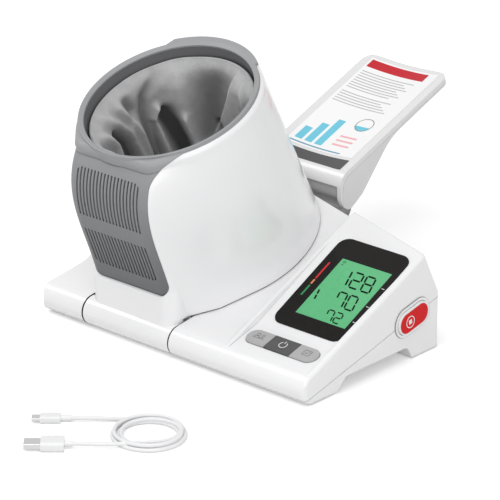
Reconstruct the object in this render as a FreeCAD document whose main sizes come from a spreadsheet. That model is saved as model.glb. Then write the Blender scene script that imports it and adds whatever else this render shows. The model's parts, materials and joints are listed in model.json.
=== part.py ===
"""Arm-in blood pressure monitor, in millimetres.

A cuff drum stands on a wedge-shaped base and tips forward about a knuckle at the base's front edge.
A console with a display, three keys and a stop button fills the right of the base, an instruction
tray folds up behind the drum, and a coiled charging cable lies in front.

World frame: +X to the user's right, +Y away from the user, +Z up, the table at Z = 0 and the
origin under the middle of the monitor.  The drum's own frame has its origin in the middle of the
drum's foot, Y up the slope of the deck and Z along the arm tunnel.
"""

import FreeCAD, Part
import math
import os

import Sketcher

Vector = FreeCAD.Vector
document = FreeCAD.newDocument("ArmMonitor")
sheet = document.addObject("Spreadsheet::Sheet", "Sizes")


# ---------------------------------------------------------------- sizes and their sheet

class Size:
    """A size: its number, beside the sheet expression that gives it."""

    def __init__(self, value, text):
        self.value = value
        self.text = text

    @staticmethod
    def of(other):
        return other if isinstance(other, Size) else Size(float(other), f"({other})")

    def __add__(self, other):
        other = Size.of(other)
        return Size(self.value + other.value, f"({self.text} + {other.text})")

    def __radd__(self, other):
        return Size.of(other) + self

    def __sub__(self, other):
        other = Size.of(other)
        return Size(self.value - other.value, f"({self.text} - {other.text})")

    def __rsub__(self, other):
        return Size.of(other) - self

    def __mul__(self, other):
        other = Size.of(other)
        return Size(self.value * other.value, f"({self.text} * {other.text})")

    def __rmul__(self, other):
        return Size.of(other) * self

    def __truediv__(self, other):
        other = Size.of(other)
        return Size(self.value / other.value, f"({self.text} / {other.text})")

    def __rtruediv__(self, other):
        return Size.of(other) / self

    def __neg__(self):
        return Size(-self.value, f"(-1 * {self.text})")


def sine(angle):
    return Size(math.sin(math.radians(angle.value)), f"sin({angle.text} * 1deg)")


def cosine(angle):
    return Size(math.cos(math.radians(angle.value)), f"cos({angle.text} * 1deg)")


def tangent(angle):
    return Size(math.tan(math.radians(angle.value)), f"tan({angle.text} * 1deg)")


def arctangent(slope):
    return Size(math.degrees(math.atan(slope.value)), f"(atan({slope.text}) / 1deg)")


def root(size):
    return Size(math.sqrt(size.value), f"sqrt({size.text})")


def write_cell(name, content):
    row = write_cell.row
    sheet.set(f"A{row}", name)
    sheet.set(f"B{row}", content)
    sheet.setAlias(f"B{row}", name)
    write_cell.row = row + 1


write_cell.row = 1


def driving(name, value):
    """A size of its own, kept as a plain number in the sheet."""
    write_cell(name, str(value))
    return Size(float(value), f"Sizes.{name}")


def derived(name, size):
    """A size that follows from others, kept as a formula in the sheet."""
    write_cell(name, "=" + size.text.replace("Sizes.", ""))
    return Size(size.value, f"Sizes.{name}")


NONE = Size(0.0, "0")

# Base housing
base_width = 294
base_wall = 2.6
hinge_y = -160.6
hinge_z = 13.6
nose_radius = 12.8
front_round = 8
side_round = 3
drum_x = -49.5
back_round_y = -52.4
rear_corner_y = -2.6
rear_corner_radius = 7
kink_z = 48.8
roof_z = 112
rear_slant = 27.4
parting_z = 8.3
parting_angle = 13.4
parting_gap = 0.3
arch_front_y = -135
arch_ramp_y = -121.4
arch_rear_y = -44.4
arch_heel_y = -37.4
arch_height = 12
arch_round = 6

# Deck and console
lean = 22.5
deck_front_angle = 8
deck_blend = 40
ridge_angle = 23.5
crest_x = 55
crest_width = 4
ridge_width = 5
floor_angle = 15.6
screen_angle = 26.3
screen_y = -76.4
screen_z = 62
screen_blend = 10

# Display
lens_x = 104.25
lens_shift = -1.1
lens_width = 73.5
lens_length = 102.6
lens_corner = 10
lens_thickness = 1.5
lens_seat = 1.0
lcd_x = 108.75
lcd_shift = -4.25
lcd_width = 52.5
lcd_length = 66
lcd_depth = 4.6
lcd_sink = 0.2
board_thickness = 1.6
board_width = 70
board_length = 92
chip_size = 12
chip_height = 2
fit_gap = 0.15

# Keys
key_strip_x = 99.5
key_strip_y = -144.6
key_strip_depth = 17
side_key_width = 22.8
middle_key_width = 26.6
key_corner = 8
key_gap = 0.4
key_proud = 1.2
key_height = 4.4
key_travel = 1
mat_thickness = 1.2
mat_margin = 2.5

# Stop button
stop_y = -39.2
stop_z = 36.8
stop_tilt = 12
stop_reach = 9
stop_radius = 10.2
stop_bezel_radius = 13
stop_bezel_proud = 0.9
stop_bezel_floor = 1.5
stop_proud = 2.6
stop_height = 7
stop_travel = 1.2
stop_switch_size = 12
running_gap = 0.3

# Front hinge
barrel_radius = 12.6
knuckle_half = 48.5
knuckle_gap = 1.2
notch_radius = 15.8
ear_thickness = 6
pin_radius = 4
pin_grip = 5
pin_clearance = 0.05
washer_radius = 9
washer_thickness = 1

# Cuff drum
hinge_reach = 116.8
hinge_drop = 3.1
drum_wall = 3
deck_gap = 1
rim_radius = 87.5
crown_radius = 80
rim_centre = -2
tunnel_centre = -6
front_half = 47.5
front_corner = 13
front_foot = 107
front_waist = 105.5
front_chest = 102
front_shoulder = 92
front_neckline = 82
waist_level = 74
chest_level = 111
shoulder_level = 133
seam_level = 143
crown_level = 151
crown_edge = 5
ledge_height = 3
neck_level = 36
neck_sink = 0.6
neck_lead = 1.8
neck_depth = 20
neck_heel = 6

# Ring, sleeve and cuff
ring_level = 152
ring_inner = 72.5
ring_outer = 77
ring_slope = 1.7
ring_land = 1
ring_flange = 1.6
lug_offset = 5.4
lug_direction = 118
lug_start = 56
lug_end = 132
lug_ramp = 76
lug_height = 2.6
sleeve_wall = 2
sleeve_foot = 6.6
drum_floor_level = 7
drum_floor_thickness = 2.5
drum_floor_gap = 0.8
bladder_thickness = 3
bladder_length = 118
bladder_level = 14
liner_thickness = 8
liner_level = 9
liner_length = 132
soft_gap = 0.3

# Grille
grille_half = 43
grille_level = 31.6
grille_corner = 11
grille_depth = 1.8
grille_ledge = 4
flare_level = 141.5
flare_radius = 16
flare_width = 18
flare_height = 11
front_start = 40
front_depth = 90
slot_pitch = 3.75
slot_width = 1.7
slot_count = 19
slot_bank_corner = 6
low_bank_level = 46.5
low_bank_height = 36
high_bank_level = 97
high_bank_height = 39.5

# Air system in the drum
pump_radius = 11.5
pump_length = 34
pump_head_radius = 10.4
pump_head_length = 17
spigot_radius = 2.2
spigot_length = 6
pump_x = 30
air_v = -89.5
valve_radius = 7
valve_length = 24
valve_x = -31
manifold_width = 18
manifold_depth = 12
manifold_height = 20
air_board_width = 34
air_board_height = 42
air_board_x = -22
air_board_v = -100
post_radius = 4
post_root = 0.4
drum_post_height = 22
drum_screw_length = 12
base_screw_length = 12

# Instruction tray
tray_x = -45
tray_hinge_y = 55.6
tray_hinge_z = 84
tray_angle = 21
tray_width = 93
tray_length = 151
tray_top_level = 19.6
tray_split = 15.1
tray_under_level = 13.4
tray_far_corner = 12
tray_side = 4
tray_cap = 3
tray_heel = 16
tray_heel_level = -4.5
tray_sole_level = -16
tray_sole = 12
tray_sole_drop = 12
tray_belly = 62
tray_nose_round = 14
tray_toe_round = 7
tray_sole_round = 20
tray_belly_round = 60
tray_edge = 2
tray_wall = 2.9
tray_lip = 4
trough_half = 40.5
trough_sag = 3
trough_start = 1
label_half = 38
label_start = 18.5
label_end = 146
label_thickness = 0.25
film_gap = 0.05
strip_length = 13
strip_thickness = 0.4
tray_knuckle = 10.3
tray_knuckle_gap = 0.7
tray_side_gap = 0.5
tray_pin_radius = 2.5
bracket_neck = 4
bracket_back = 6
bracket_shelf = 16
bracket_foot = 29
bracket_reach = 40

# Power, feet and fasteners
battery_length = 70
battery_width = 38
battery_height = 19
battery_y = -83.4
foot_side = 40
foot_front = 14
foot_rear = 22
foot_radius = 7
foot_thickness = 2
foot_sink = 1.2
screw_side = 24
screw_front = 18
screw_crest = 9
screw_rear = 12
screw_spread = 45
screw_head = 2.8
screw_shank = 1.4
screw_head_height = 2
screw_recess = 4
socket_x = 100
socket_z = 24
socket_width = 9
socket_height = 3.3
socket_depth = 7.4

# Charging cable
cable_x = 90
cable_y = -289.4
cable_angle = 41.9
cord_radius = 1.65
coil_outer = 32.5
coil_inner = 19.6
coil_height = 6.6
coil_edge = 3
tail_c_offset = 27.4
tail_a_offset = 21.3
plug_c_tip = 92.8
plug_a_tip = 95.6
plug_c_metal = 6.6
plug_c_metal_width = 8.3
plug_c_metal_height = 2.6
plug_c_body = 16
plug_c_width = 10.8
plug_c_height = 6
plug_c_relief = 9
plug_a_metal = 13
plug_a_metal_width = 12
plug_a_metal_height = 4.5
plug_a_body = 18
plug_a_width = 16.8
plug_a_height = 8
plug_a_relief = 6.5
relief_radius = 2.4
plug_metal_wall = 0.35
plug_metal_corner = 0.6
plug_a_tongue = 1.5
plug_a_tongue_level = 3.1
plug_a_tongue_set = 1.1

# Each number above goes into the sheet under its own name.
for name, value in list(globals().items()):
    if isinstance(value, (int, float)):
        globals()[name] = driving(name, value)

# Sizes that follow
half_width = derived("half_width", base_width / 2)
back_round_radius = derived("back_round_radius", drum_x + half_width)
base_bottom = derived("base_bottom", hinge_z - nose_radius)
roof_shift = derived("roof_shift", (roof_z - kink_z) * tangent(rear_slant))
drum_y = derived("drum_y", hinge_y + hinge_reach * cosine(lean) - hinge_drop * sine(lean))
drum_z = derived("drum_z", hinge_z + hinge_reach * sine(lean) + hinge_drop * cosine(lean))
recess_left = derived("recess_left", crest_x + crest_width)
recess_right = derived("recess_right", half_width - ridge_width)
notch_half = derived("notch_half", knuckle_half + knuckle_gap)
pin_half = derived("pin_half", notch_half + pin_grip)
sleeve_outer = derived("sleeve_outer", ring_inner + sleeve_wall)
bladder_outer = derived("bladder_outer", ring_inner - soft_gap)
liner_outer = derived("liner_outer", bladder_outer - bladder_thickness - soft_gap)
air_base = derived("air_base", drum_floor_level + drum_floor_thickness)
trough_radius = derived(
    "trough_radius", (trough_half * trough_half + trough_sag * trough_sag) / (2 * trough_sag))
trough_centre = derived("trough_centre", tray_top_level - trough_sag + trough_radius)
bracket_half = derived("bracket_half", tray_width / 2 - tray_side - tray_side_gap)
lens_seat_z = derived("lens_seat_z", -lens_seat)
key_y = key_strip_y
key_z = derived(
    "key_z", hinge_z + nose_radius / cosine(floor_angle) + tangent(floor_angle) * (key_y - hinge_y))
key_strip_half = derived("key_strip_half", middle_key_width / 2 + key_gap + side_key_width)


# ---------------------------------------------------------------- drawing helpers

def bind(item, name, size):
    """Tie one property of an object to the sheet."""
    item.setExpression(name, Size.of(size).text)


def place(item, base, axis=None, angle=None):
    """Put an object at a base point, turned about an axis, all tied to the sheet."""
    base = [Size.of(part) for part in base]
    rotation = FreeCAD.Rotation()
    if axis is not None:
        rotation = FreeCAD.Rotation(axis, Size.of(angle).value)
    item.Placement = FreeCAD.Placement(Vector(*(part.value for part in base)), rotation)
    for letter, part in zip("xyz", base):
        bind(item, f"Placement.Base.{letter}", part)
    if axis is not None:
        bind(item, "Placement.Rotation.Angle", angle)
    return item


ALONG_X = Vector(1, 0, 0)
ALONG_Y = Vector(0, 1, 0)
ALONG_Z = Vector(0, 0, 1)


def sketch_in(body, name, role, offset=NONE):
    """An empty sketch on one of the body's own origin planes, or at an offset from it."""
    sketch = body.newObject("Sketcher::SketchObject", name)
    plane = next(item for item in body.Origin.OriginFeatures if item.Role == role)
    sketch.AttachmentSupport = (plane, [""])
    sketch.MapMode = "FlatFace"
    bind(sketch, "AttachmentOffset.Base.z", offset)
    return sketch


def constrain(sketch, constraints, bindings):
    """Add constraints, then tie the measured ones, given by their place in the list."""
    first = len(sketch.Constraints)
    sketch.addConstraint(constraints)
    for place_in_list, size in bindings:
        bind(sketch, f"Constraints[{first + place_in_list}]", size)


def pin_point(constraints, bindings, geometry, point, x, y):
    """Hold a point of a sketch at x, y from the sketch's origin."""
    for kind, size in (("DistanceX", x), ("DistanceY", y)):
        bindings.append((len(constraints), size))
        constraints.append(Sketcher.Constraint(kind, -1, 1, geometry, point, size.value))


def outline(sketch, corners):
    """A closed outline through corners (x, y, radius), its lines joined by tangent arcs."""
    corners = [tuple(Size.of(part) for part in corner) for corner in corners]
    count = len(corners)
    points = [Vector(x.value, y.value, 0) for x, y, _ in corners]
    entries, exits, turns = [], [], []
    for index, (_, _, radius) in enumerate(corners):
        before = (points[index] - points[index - 1]).normalize()
        after = (points[(index + 1) % count] - points[index]).normalize()
        turn = math.atan2(before.cross(after).z, before.dot(after))
        reach = radius.value * math.tan(abs(turn) / 2)
        entries.append(points[index] - before * reach)
        exits.append(points[index] + after * reach)
        turns.append((turn, before))
    first = len(sketch.Geometry)
    geometry = [Part.LineSegment(exits[index], entries[(index + 1) % count]) for index in range(count)]
    constraints, bindings, virtual = [], [], []
    for index, (x, y, radius) in enumerate(corners):
        arriving = first + (index - 1) % count
        leaving = first + index
        if radius.value <= 0:
            constraints.append(Sketcher.Constraint("Coincident", arriving, 2, leaving, 1))
            pin_point(constraints, bindings, leaving, 1, x, y)
            continue
        turn, before = turns[index]
        left = turn > 0
        normal = Vector(-before.y, before.x, 0) if left else Vector(before.y, -before.x, 0)
        centre = entries[index] + normal * radius.value
        begin, end = (entries[index], exits[index]) if left else (exits[index], entries[index])
        start = math.atan2(begin.y - centre.y, begin.x - centre.x)
        sweep = (math.atan2(end.y - centre.y, end.x - centre.x) - start) % (2 * math.pi)
        circle = Part.Circle(centre, ALONG_Z, radius.value)
        geometry.append(Part.ArcOfCircle(circle, start, start + sweep))
        arc = first + len(geometry) - 1
        constraints.append(Sketcher.Constraint("Tangent", arriving, 2, arc, 1 if left else 2))
        constraints.append(Sketcher.Constraint("Tangent", arc, 2 if left else 1, leaving, 1))
        bindings.append((len(constraints), radius))
        constraints.append(Sketcher.Constraint("Radius", arc, radius.value))
        virtual.append((arriving, leaving, x, y))
    sketch.addGeometry(geometry, False)
    sketch.addGeometry([Part.Point(Vector(x.value, y.value, 0)) for _, _, x, y in virtual], True)
    for step, (arriving, leaving, x, y) in enumerate(virtual):
        point = first + len(geometry) + step
        pin_point(constraints, bindings, point, 1, x, y)
        constraints.append(Sketcher.Constraint("PointOnObject", point, 1, arriving))
        constraints.append(Sketcher.Constraint("PointOnObject", point, 1, leaving))
    constrain(sketch, constraints, bindings)


def pad(body, sketch, length, symmetric=False):
    """Pad a sketch by a length, to one side or half to each."""
    feature = body.newObject("PartDesign::Pad", sketch.Name + "Pad")
    feature.Profile = sketch
    feature.SideType = "Symmetric" if symmetric else "One side"
    bind(feature, "Length", length)
    return feature


def profile(name, role, corners, length, offset=NONE, symmetric=False):
    """A body made by padding one outline."""
    body = document.addObject("PartDesign::Body", name)
    sketch = sketch_in(body, name + "Outline", role, offset)
    outline(sketch, corners)
    pad(body, sketch, length, symmetric)
    return body


def across(name, corners, half, centre=NONE):
    """A side outline (y, z) padded across X, half to each side of a centre."""
    return profile(name, "YZ_Plane", corners, 2 * half, centre - half)


def fillet(body, radius, chosen):
    """Round the edges of the body's last feature that a test of (edge) chooses."""
    document.recompute()
    last = body.Tip
    names = [f"Edge{index}" for index, edge in enumerate(last.Shape.Edges, 1) if chosen(edge)]
    feature = body.newObject("PartDesign::Fillet", body.Name + "Fillet")
    feature.Base = (last, names)
    bind(feature, "Radius", radius)
    return feature


def rectangle(centre_x, centre_y, width, height, radius=NONE):
    """The corners of a rounded rectangle."""
    return [
        (centre_x + width * side / 2, centre_y + height * end / 2, radius)
        for side, end in ((-1, -1), (1, -1), (1, 1), (-1, 1))]


def cylinder(name, radius, height, base, axis=None, angle=None):
    item = document.addObject("Part::Cylinder", name)
    bind(item, "Radius", radius)
    bind(item, "Height", height)
    return place(item, base, axis, angle)


def rod(name, radius, half, x, y, z):
    """A round rod along X, half to each side of x."""
    return cylinder(name, radius, 2 * half, (x - half, y, z), ALONG_Y, 90)


def block(name, size, base):
    item = document.addObject("Part::Box", name)
    for side, extent in zip(("Length", "Width", "Height"), size):
        bind(item, side, extent)
    return place(item, base)


def cut(name, body, tool):
    item = document.addObject("Part::Cut", name)
    item.Base = body
    item.Tool = tool
    return item


def fuse(name, parts):
    item = document.addObject("Part::MultiFuse", name)
    item.Shapes = parts
    return item


def common(name, parts):
    item = document.addObject("Part::MultiCommon", name)
    item.Shapes = parts
    return item


nodes = []


def node(item, label):
    """Name a finished piece."""
    item.Label = label
    nodes.append(item)
    return item


def in_drum(item):
    return place(item, (drum_x, drum_y, drum_z), ALONG_X, lean)


def in_tray(item):
    return place(item, (tray_x, tray_hinge_y, tray_hinge_z), ALONG_X, tray_angle)


def on_screen(item):
    return place(item, (NONE, screen_y, screen_z), ALONG_X, screen_angle)


def on_keys(item):
    return place(item, (key_strip_x, key_y, key_z), ALONG_X, floor_angle)


def on_stop(item):
    return place(item, (half_width, stop_y, stop_z), ALONG_X, stop_tilt)


def on_cable(item):
    return place(item, (cable_x, cable_y, NONE), ALONG_Z, cable_angle)


# ---------------------------------------------------------------- base housing

# Cutters run this far past a surface, and tools that bound a whole region reach this far.
PAST = 20
FAR = 260
# Arcs of this share of a half circle leave the short line that an outline needs between them.
ROUND = 0.999
# Edges are found by their place to within this.
SLACK = 0.1


def wedge_tip(angle, inset):
    """Where a roof line at an angle, tangent to the nose, meets the line of the bottom."""
    return hinge_y - (nose_radius - inset) * (1 + cosine(angle)) / sine(angle)


def above_hinge(angle, inset, y):
    """Height at y of the roof line at an angle, tangent to the nose."""
    return hinge_z + (nose_radius - inset) / cosine(angle) + tangent(angle) * (y - hinge_y)


def deck_height(inset, y):
    """Height at y of the sloping deck that carries the drum."""
    return drum_z - (deck_gap + inset) / cosine(lean) + tangent(lean) * (y - drum_y)


def screen_height(inset, y):
    return screen_z - inset / cosine(screen_angle) + tangent(screen_angle) * (y - screen_y)


def rear_slope(reach_x, reach_y, radius):
    """Slope of the rear wall, which leaves a corner and touches the round end.

    The corner lies at reach_x, reach_y from the middle of the round end.
    """
    along = root(reach_x * reach_x + reach_y * reach_y - radius * radius)
    return (along * reach_y - radius * reach_x) / (along * reach_x + radius * reach_y)


def plan_outline(sketch, inset, shift):
    """Plan of the base: straight sides, a round end behind the drum and a slanting rear wall."""
    side = half_width - inset
    radius = back_round_radius - inset
    round_y = back_round_y + shift
    corner_y = rear_corner_y - inset + shift
    front_y = hinge_y - nose_radius - 2 + shift
    # The outline's corner over the round end lies where the rear wall would meet the left side.
    left_y = corner_y - rear_slope(side - drum_x, corner_y - round_y, radius) * (2 * side)
    outline(sketch, [
        (-side, front_y, front_round - inset),
        (side, front_y, front_round - inset),
        (side, corner_y, rear_corner_radius),
        (-side, left_y, radius),
    ])


def base_form(name, inset):
    """The solid form of the base, drawn in by an inset all round."""
    plan = document.addObject("PartDesign::Body", name + "Plan")
    foot_sketch = sketch_in(plan, name + "Foot", "XY_Plane", base_bottom + inset)
    plan_outline(foot_sketch, inset, NONE)
    pad(plan, foot_sketch, kink_z - base_bottom - inset)
    kink_sketch = sketch_in(plan, name + "Kink", "XY_Plane", kink_z)
    plan_outline(kink_sketch, inset, NONE)
    roof_sketch = sketch_in(plan, name + "Roof", "XY_Plane", roof_z)
    plan_outline(roof_sketch, inset, -roof_shift)
    loft = plan.newObject("PartDesign::AdditiveLoft", name + "Loft")
    loft.Profile = kink_sketch
    loft.Sections = [roof_sketch]
    loft.Ruled = True

    bend_y = (
        drum_z - (deck_gap + inset) / cosine(lean) - tangent(lean) * drum_y
        - hinge_z - (nose_radius - inset) / cosine(deck_front_angle)
        + tangent(deck_front_angle) * hinge_y
    ) / (tangent(deck_front_angle) - tangent(lean))
    deck = across(name + "Deck", [
        (wedge_tip(deck_front_angle, inset), base_bottom + inset, nose_radius - inset),
        (FAR, base_bottom + inset, NONE),
        (FAR, deck_height(inset, FAR), NONE),
        (bend_y, deck_height(inset, bend_y), deck_blend),
    ], half_width)
    console = across(name + "Console", [
        (wedge_tip(ridge_angle, inset), base_bottom + inset, nose_radius - inset),
        (FAR, base_bottom + inset, NONE),
        (FAR, above_hinge(ridge_angle, inset, FAR), NONE),
    ], (half_width - crest_x - inset) / 2, (half_width + crest_x + inset) / 2)
    roof = fuse(name + "Profiles", [deck, console])
    solid = common(name + "Solid", [plan, roof])

    fold_y = (
        screen_z - inset / cosine(screen_angle) - tangent(screen_angle) * screen_y
        - hinge_z - (nose_radius - inset) / cosine(floor_angle) + tangent(floor_angle) * hinge_y
    ) / (tangent(floor_angle) - tangent(screen_angle))
    recess = across(name + "Recess", [
        (-FAR, above_hinge(floor_angle, inset, -FAR), NONE),
        (fold_y, screen_height(inset, fold_y), screen_blend),
        (FAR, screen_height(inset, FAR), NONE),
        (FAR, FAR, NONE),
        (-FAR, FAR, NONE),
    ], (recess_right - recess_left) / 2 + inset, (recess_right + recess_left) / 2)
    arch = across(name + "Arch", [
        (arch_front_y - inset, base_bottom - 1, NONE),
        (arch_heel_y + inset, base_bottom - 1, NONE),
        (arch_rear_y + inset, arch_height + inset, arch_round + inset),
        (arch_ramp_y - inset, arch_height + inset, arch_round + inset),
    ], half_width)
    return cut(name, solid, fuse(name + "Hollows", [recess, arch]))


def notch_form(name, grow, half):
    """The gap in the base's front that takes the drum's knuckle."""
    radius = notch_radius + grow
    bore = rod(name + "Round", radius, half, drum_x, hinge_y, hinge_z)
    mouth = across(name + "Mouth", [
        (hinge_y - 2 * notch_radius, -radius, NONE),
        (hinge_y, -radius, NONE),
        (hinge_y, hinge_z, NONE),
        (hinge_y + radius, hinge_z, NONE),
        (hinge_y + radius, roof_z, NONE),
        (hinge_y - 2 * notch_radius, roof_z, NONE),
    ], half, drum_x)
    return fuse(name, [bore, mouth])


screw_places = [
    (-half_width + screw_side, hinge_y + screw_front),
    (crest_x - screw_crest, hinge_y + screw_front),
    (half_width - screw_side, rear_corner_y - screw_rear),
    (drum_x - screw_spread, rear_corner_y - screw_rear),
    (drum_x + screw_spread, rear_corner_y - screw_rear),
]
foot_places = [
    (side * (half_width - foot_side), y)
    for side in (-1, 1) for y in (hinge_y + foot_front, rear_corner_y - foot_rear)]


def round_group(name, places, radius, height, z):
    """Equal upright cylinders at several places, as one object."""
    parts = [
        cylinder(f"{name}{index}", radius, height, (x, y, z)) for index, (x, y) in enumerate(places)]
    return fuse(name, parts)


outer_form = document.addObject("PartDesign::Body", "RoundedBase")
outer_form.BaseFeature = base_form("BaseOuter", NONE)
fillet(outer_form, side_round, lambda edge: (
    edge.BoundBox.XMin > half_width.value - SLACK and edge.BoundBox.ZMin > arch_height.value
    and edge.BoundBox.YLength > 2 * nose_radius.value))
inner_form = base_form("BaseInner", base_wall)
notch = notch_form("Notch", NONE, notch_half)
notch_lining = notch_form("NotchLining", base_wall, notch_half + ear_thickness)
cavity = cut("BaseCavity", inner_form, notch_lining)
hollow_base = cut("HollowBase", cut("BaseWalls", outer_form, cavity), notch)
screw_posts = common("BasePosts", [
    round_group("PostRods", screw_places, post_radius, roof_z, NONE), outer_form])
posted_base = fuse("PostedBase", [hollow_base, screw_posts])

lens_cutter = on_screen(profile(
    "LensCutter", "XY_Plane",
    rectangle(lens_x, lens_shift, lens_width + 2 * fit_gap, lens_length + 2 * fit_gap, lens_corner),
    PAST, lens_seat_z))
lcd_cutter = on_screen(profile(
    "LcdCutter", "XY_Plane",
    rectangle(lcd_x, lcd_shift, lcd_width + 2 * fit_gap, lcd_length + 2 * fit_gap),
    2 * PAST, NONE - PAST))
key_cutter = on_keys(profile(
    "KeyCutter", "XY_Plane",
    rectangle(NONE, NONE, 2 * (key_strip_half + running_gap),
              key_strip_depth + 2 * running_gap, key_corner + running_gap),
    2 * PAST, NONE - PAST))


def pill(reach, radius):
    """Corners of a round-ended outline (y, z)."""
    return [
        (side * (reach + radius), end * radius, radius * ROUND)
        for side, end in ((-1, -1), (1, -1), (1, 1), (-1, 1))]


stop_cutter = on_stop(profile(
    "StopCutter", "YZ_Plane", pill(stop_reach, stop_bezel_radius), 2 * PAST, NONE - PAST))
pin_cutter = rod("PinCutter", pin_radius, pin_half, drum_x, hinge_y, hinge_z)
foot_cutter = round_group(
    "FootCutter", foot_places, foot_radius, base_bottom + foot_sink, NONE)
head_cutter = round_group(
    "HeadCutter", screw_places, screw_head, base_bottom + screw_recess, NONE)
shank_cutter = round_group(
    "ShankCutter", screw_places, screw_shank, base_bottom + screw_recess + base_screw_length + 1, NONE)

socket_slope = derived("socket_slope", rear_slope(
    half_width - drum_x, rear_corner_y - back_round_y, back_round_radius))


def at_socket(item):
    """Set a piece on the slanting rear wall, its local -Y pointing into the base."""
    wall_y = rear_corner_y - socket_slope * (half_width - socket_x)
    return place(item, (socket_x, wall_y, socket_z), ALONG_Z, arctangent(socket_slope))


socket_cutter = at_socket(profile(
    "SocketCutter", "XZ_Plane",
    rectangle(NONE, NONE, socket_width + 2 * fit_gap, socket_height + 2 * fit_gap,
              socket_height / 2),
    2 * PAST, NONE - PAST))
base_cutters = fuse("BaseCutters", [
    lens_cutter, lcd_cutter, key_cutter, stop_cutter, pin_cutter, foot_cutter, head_cutter,
    shank_cutter, socket_cutter])
whole_base = cut("WholeBase", posted_base, base_cutters)


def parting_height(y):
    return parting_z + tangent(parting_angle) * (y - hinge_y)


above_parting = across("AboveParting", [
    (-FAR, parting_height(-FAR), NONE), (FAR, parting_height(FAR), NONE),
    (FAR, FAR, NONE), (-FAR, FAR, NONE)], FAR)
below_parting = across("BelowParting", [
    (-FAR, parting_height(-FAR) - parting_gap, NONE), (-FAR, NONE - FAR, NONE),
    (FAR, NONE - FAR, NONE), (FAR, parting_height(FAR) - parting_gap, NONE)], FAR)
node(common("TopCover", [whole_base, above_parting]), "base_top_cover")
node(common("BottomCover", [whole_base, below_parting]), "base_bottom_cover")

# ---------------------------------------------------------------- display, keys and stop button

lens_plate = profile(
    "LensPlate", "XY_Plane", rectangle(lens_x, lens_shift, lens_width, lens_length, lens_corner),
    lens_thickness, lens_seat_z)
lens_window = profile(
    "LensWindow", "XY_Plane", rectangle(lcd_x, lcd_shift, lcd_width, lcd_length),
    2 * PAST, NONE - PAST)
node(on_screen(cut("Lens", lens_plate, lens_window)), "display_lens")

lcd_top = lens_thickness - lens_seat - lcd_sink
node(on_screen(profile(
    "Lcd", "XY_Plane",
    rectangle(lcd_x, lcd_shift, lcd_width - 2 * fit_gap, lcd_length - 2 * fit_gap),
    lcd_depth, lcd_top - lcd_depth)), "lcd_panel")

board = profile(
    "Board", "XY_Plane", rectangle(lens_x, lens_shift - 2, board_width, board_length),
    board_thickness, lcd_top - lcd_depth - board_thickness)
chips = profile(
    "Chips", "XY_Plane", rectangle(lens_x - chip_size, lens_shift, chip_size, chip_size), chip_height,
    lcd_top - lcd_depth - board_thickness - chip_height)
node(on_screen(fuse("MainBoard", [board, chips])), "main_board")

key_level = key_proud - key_height


def key_cap(name, left, right, rounded_left, rounded_right):
    """A key: a cap with round corners on its outer side."""
    depth = key_strip_depth / 2
    left_radius = key_corner if rounded_left else NONE
    right_radius = key_corner if rounded_right else NONE
    cap = profile(name, "XY_Plane", [
        (left, -depth, left_radius), (right, -depth, right_radius),
        (right, depth, right_radius), (left, depth, left_radius)], key_height, key_level)
    return on_keys(cap)


node(key_cap("LeftKey", -key_strip_half, -middle_key_width / 2 - key_gap, True, False), "left_button")
node(key_cap("MiddleKey", -middle_key_width / 2, middle_key_width / 2, False, False), "power_button")
node(key_cap("RightKey", middle_key_width / 2 + key_gap, key_strip_half, False, True), "right_button")

mat_level = key_level - key_travel - running_gap - mat_thickness
mat_width = 2 * (key_strip_half + mat_margin)
mat_depth = key_strip_depth + 2 * mat_margin
mat_plate = profile(
    "MatPlate", "XY_Plane", rectangle(NONE, NONE, mat_width, mat_depth), mat_thickness, mat_level)
mat_rim = profile(
    "MatRim", "XY_Plane", rectangle(NONE, NONE, mat_width, mat_depth),
    -base_wall - mat_level - soft_gap, mat_level)
mat_well = profile(
    "MatWell", "XY_Plane",
    rectangle(NONE, NONE, mat_width - mat_margin, mat_depth - mat_margin), PAST, mat_level)
node(on_keys(fuse("KeyMat", [mat_plate, cut("MatWalls", mat_rim, mat_well)])), "key_mat")
node(on_keys(profile(
    "KeyBoard", "XY_Plane", rectangle(NONE, NONE, mat_width, mat_depth), board_thickness,
    mat_level - board_thickness)), "key_board")

switch_front = stop_proud - stop_height - stop_travel - running_gap
switch_back = switch_front - stop_switch_size / 2
bezel_disc = profile(
    "BezelDisc", "YZ_Plane", pill(stop_reach, stop_bezel_radius),
    stop_bezel_proud + stop_bezel_floor - switch_back, switch_back - stop_bezel_floor)
bezel_hole = profile(
    "BezelHole", "YZ_Plane", pill(stop_reach, stop_radius + running_gap), PAST, switch_back)
node(on_stop(cut("StopBezel", bezel_disc, bezel_hole)), "stop_button_bezel")
stop_cap = profile(
    "StopCap", "YZ_Plane", pill(stop_reach, stop_radius), stop_height, stop_proud - stop_height)
node(on_stop(stop_cap), "stop_button")
node(on_stop(profile(
    "StopSwitchBlock", "YZ_Plane", rectangle(NONE, NONE, stop_switch_size, stop_switch_size),
    stop_switch_size / 2, switch_back)), "stop_switch")

# ---------------------------------------------------------------- hinge of the drum

node(rod("HingePin", pin_radius, pin_half, drum_x, hinge_y, hinge_z), "hinge_pin")
washers = [
    rod(f"Washer{side}", washer_radius, washer_thickness / 2,
        drum_x + side * (knuckle_half + knuckle_gap / 2), hinge_y, hinge_z) for side in (-1, 1)]
node(cut("HingeWashers", fuse("WasherDiscs", washers),
         rod("WasherBore", pin_radius + pin_clearance, pin_half, drum_x, hinge_y, hinge_z)),
     "hinge_washers")

# ---------------------------------------------------------------- cuff drum


def drum_radius(level):
    return rim_radius - (rim_radius - crown_radius) * level / seam_level


def drum_centre(level):
    return rim_centre + (tunnel_centre - rim_centre) * level / seam_level


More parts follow.
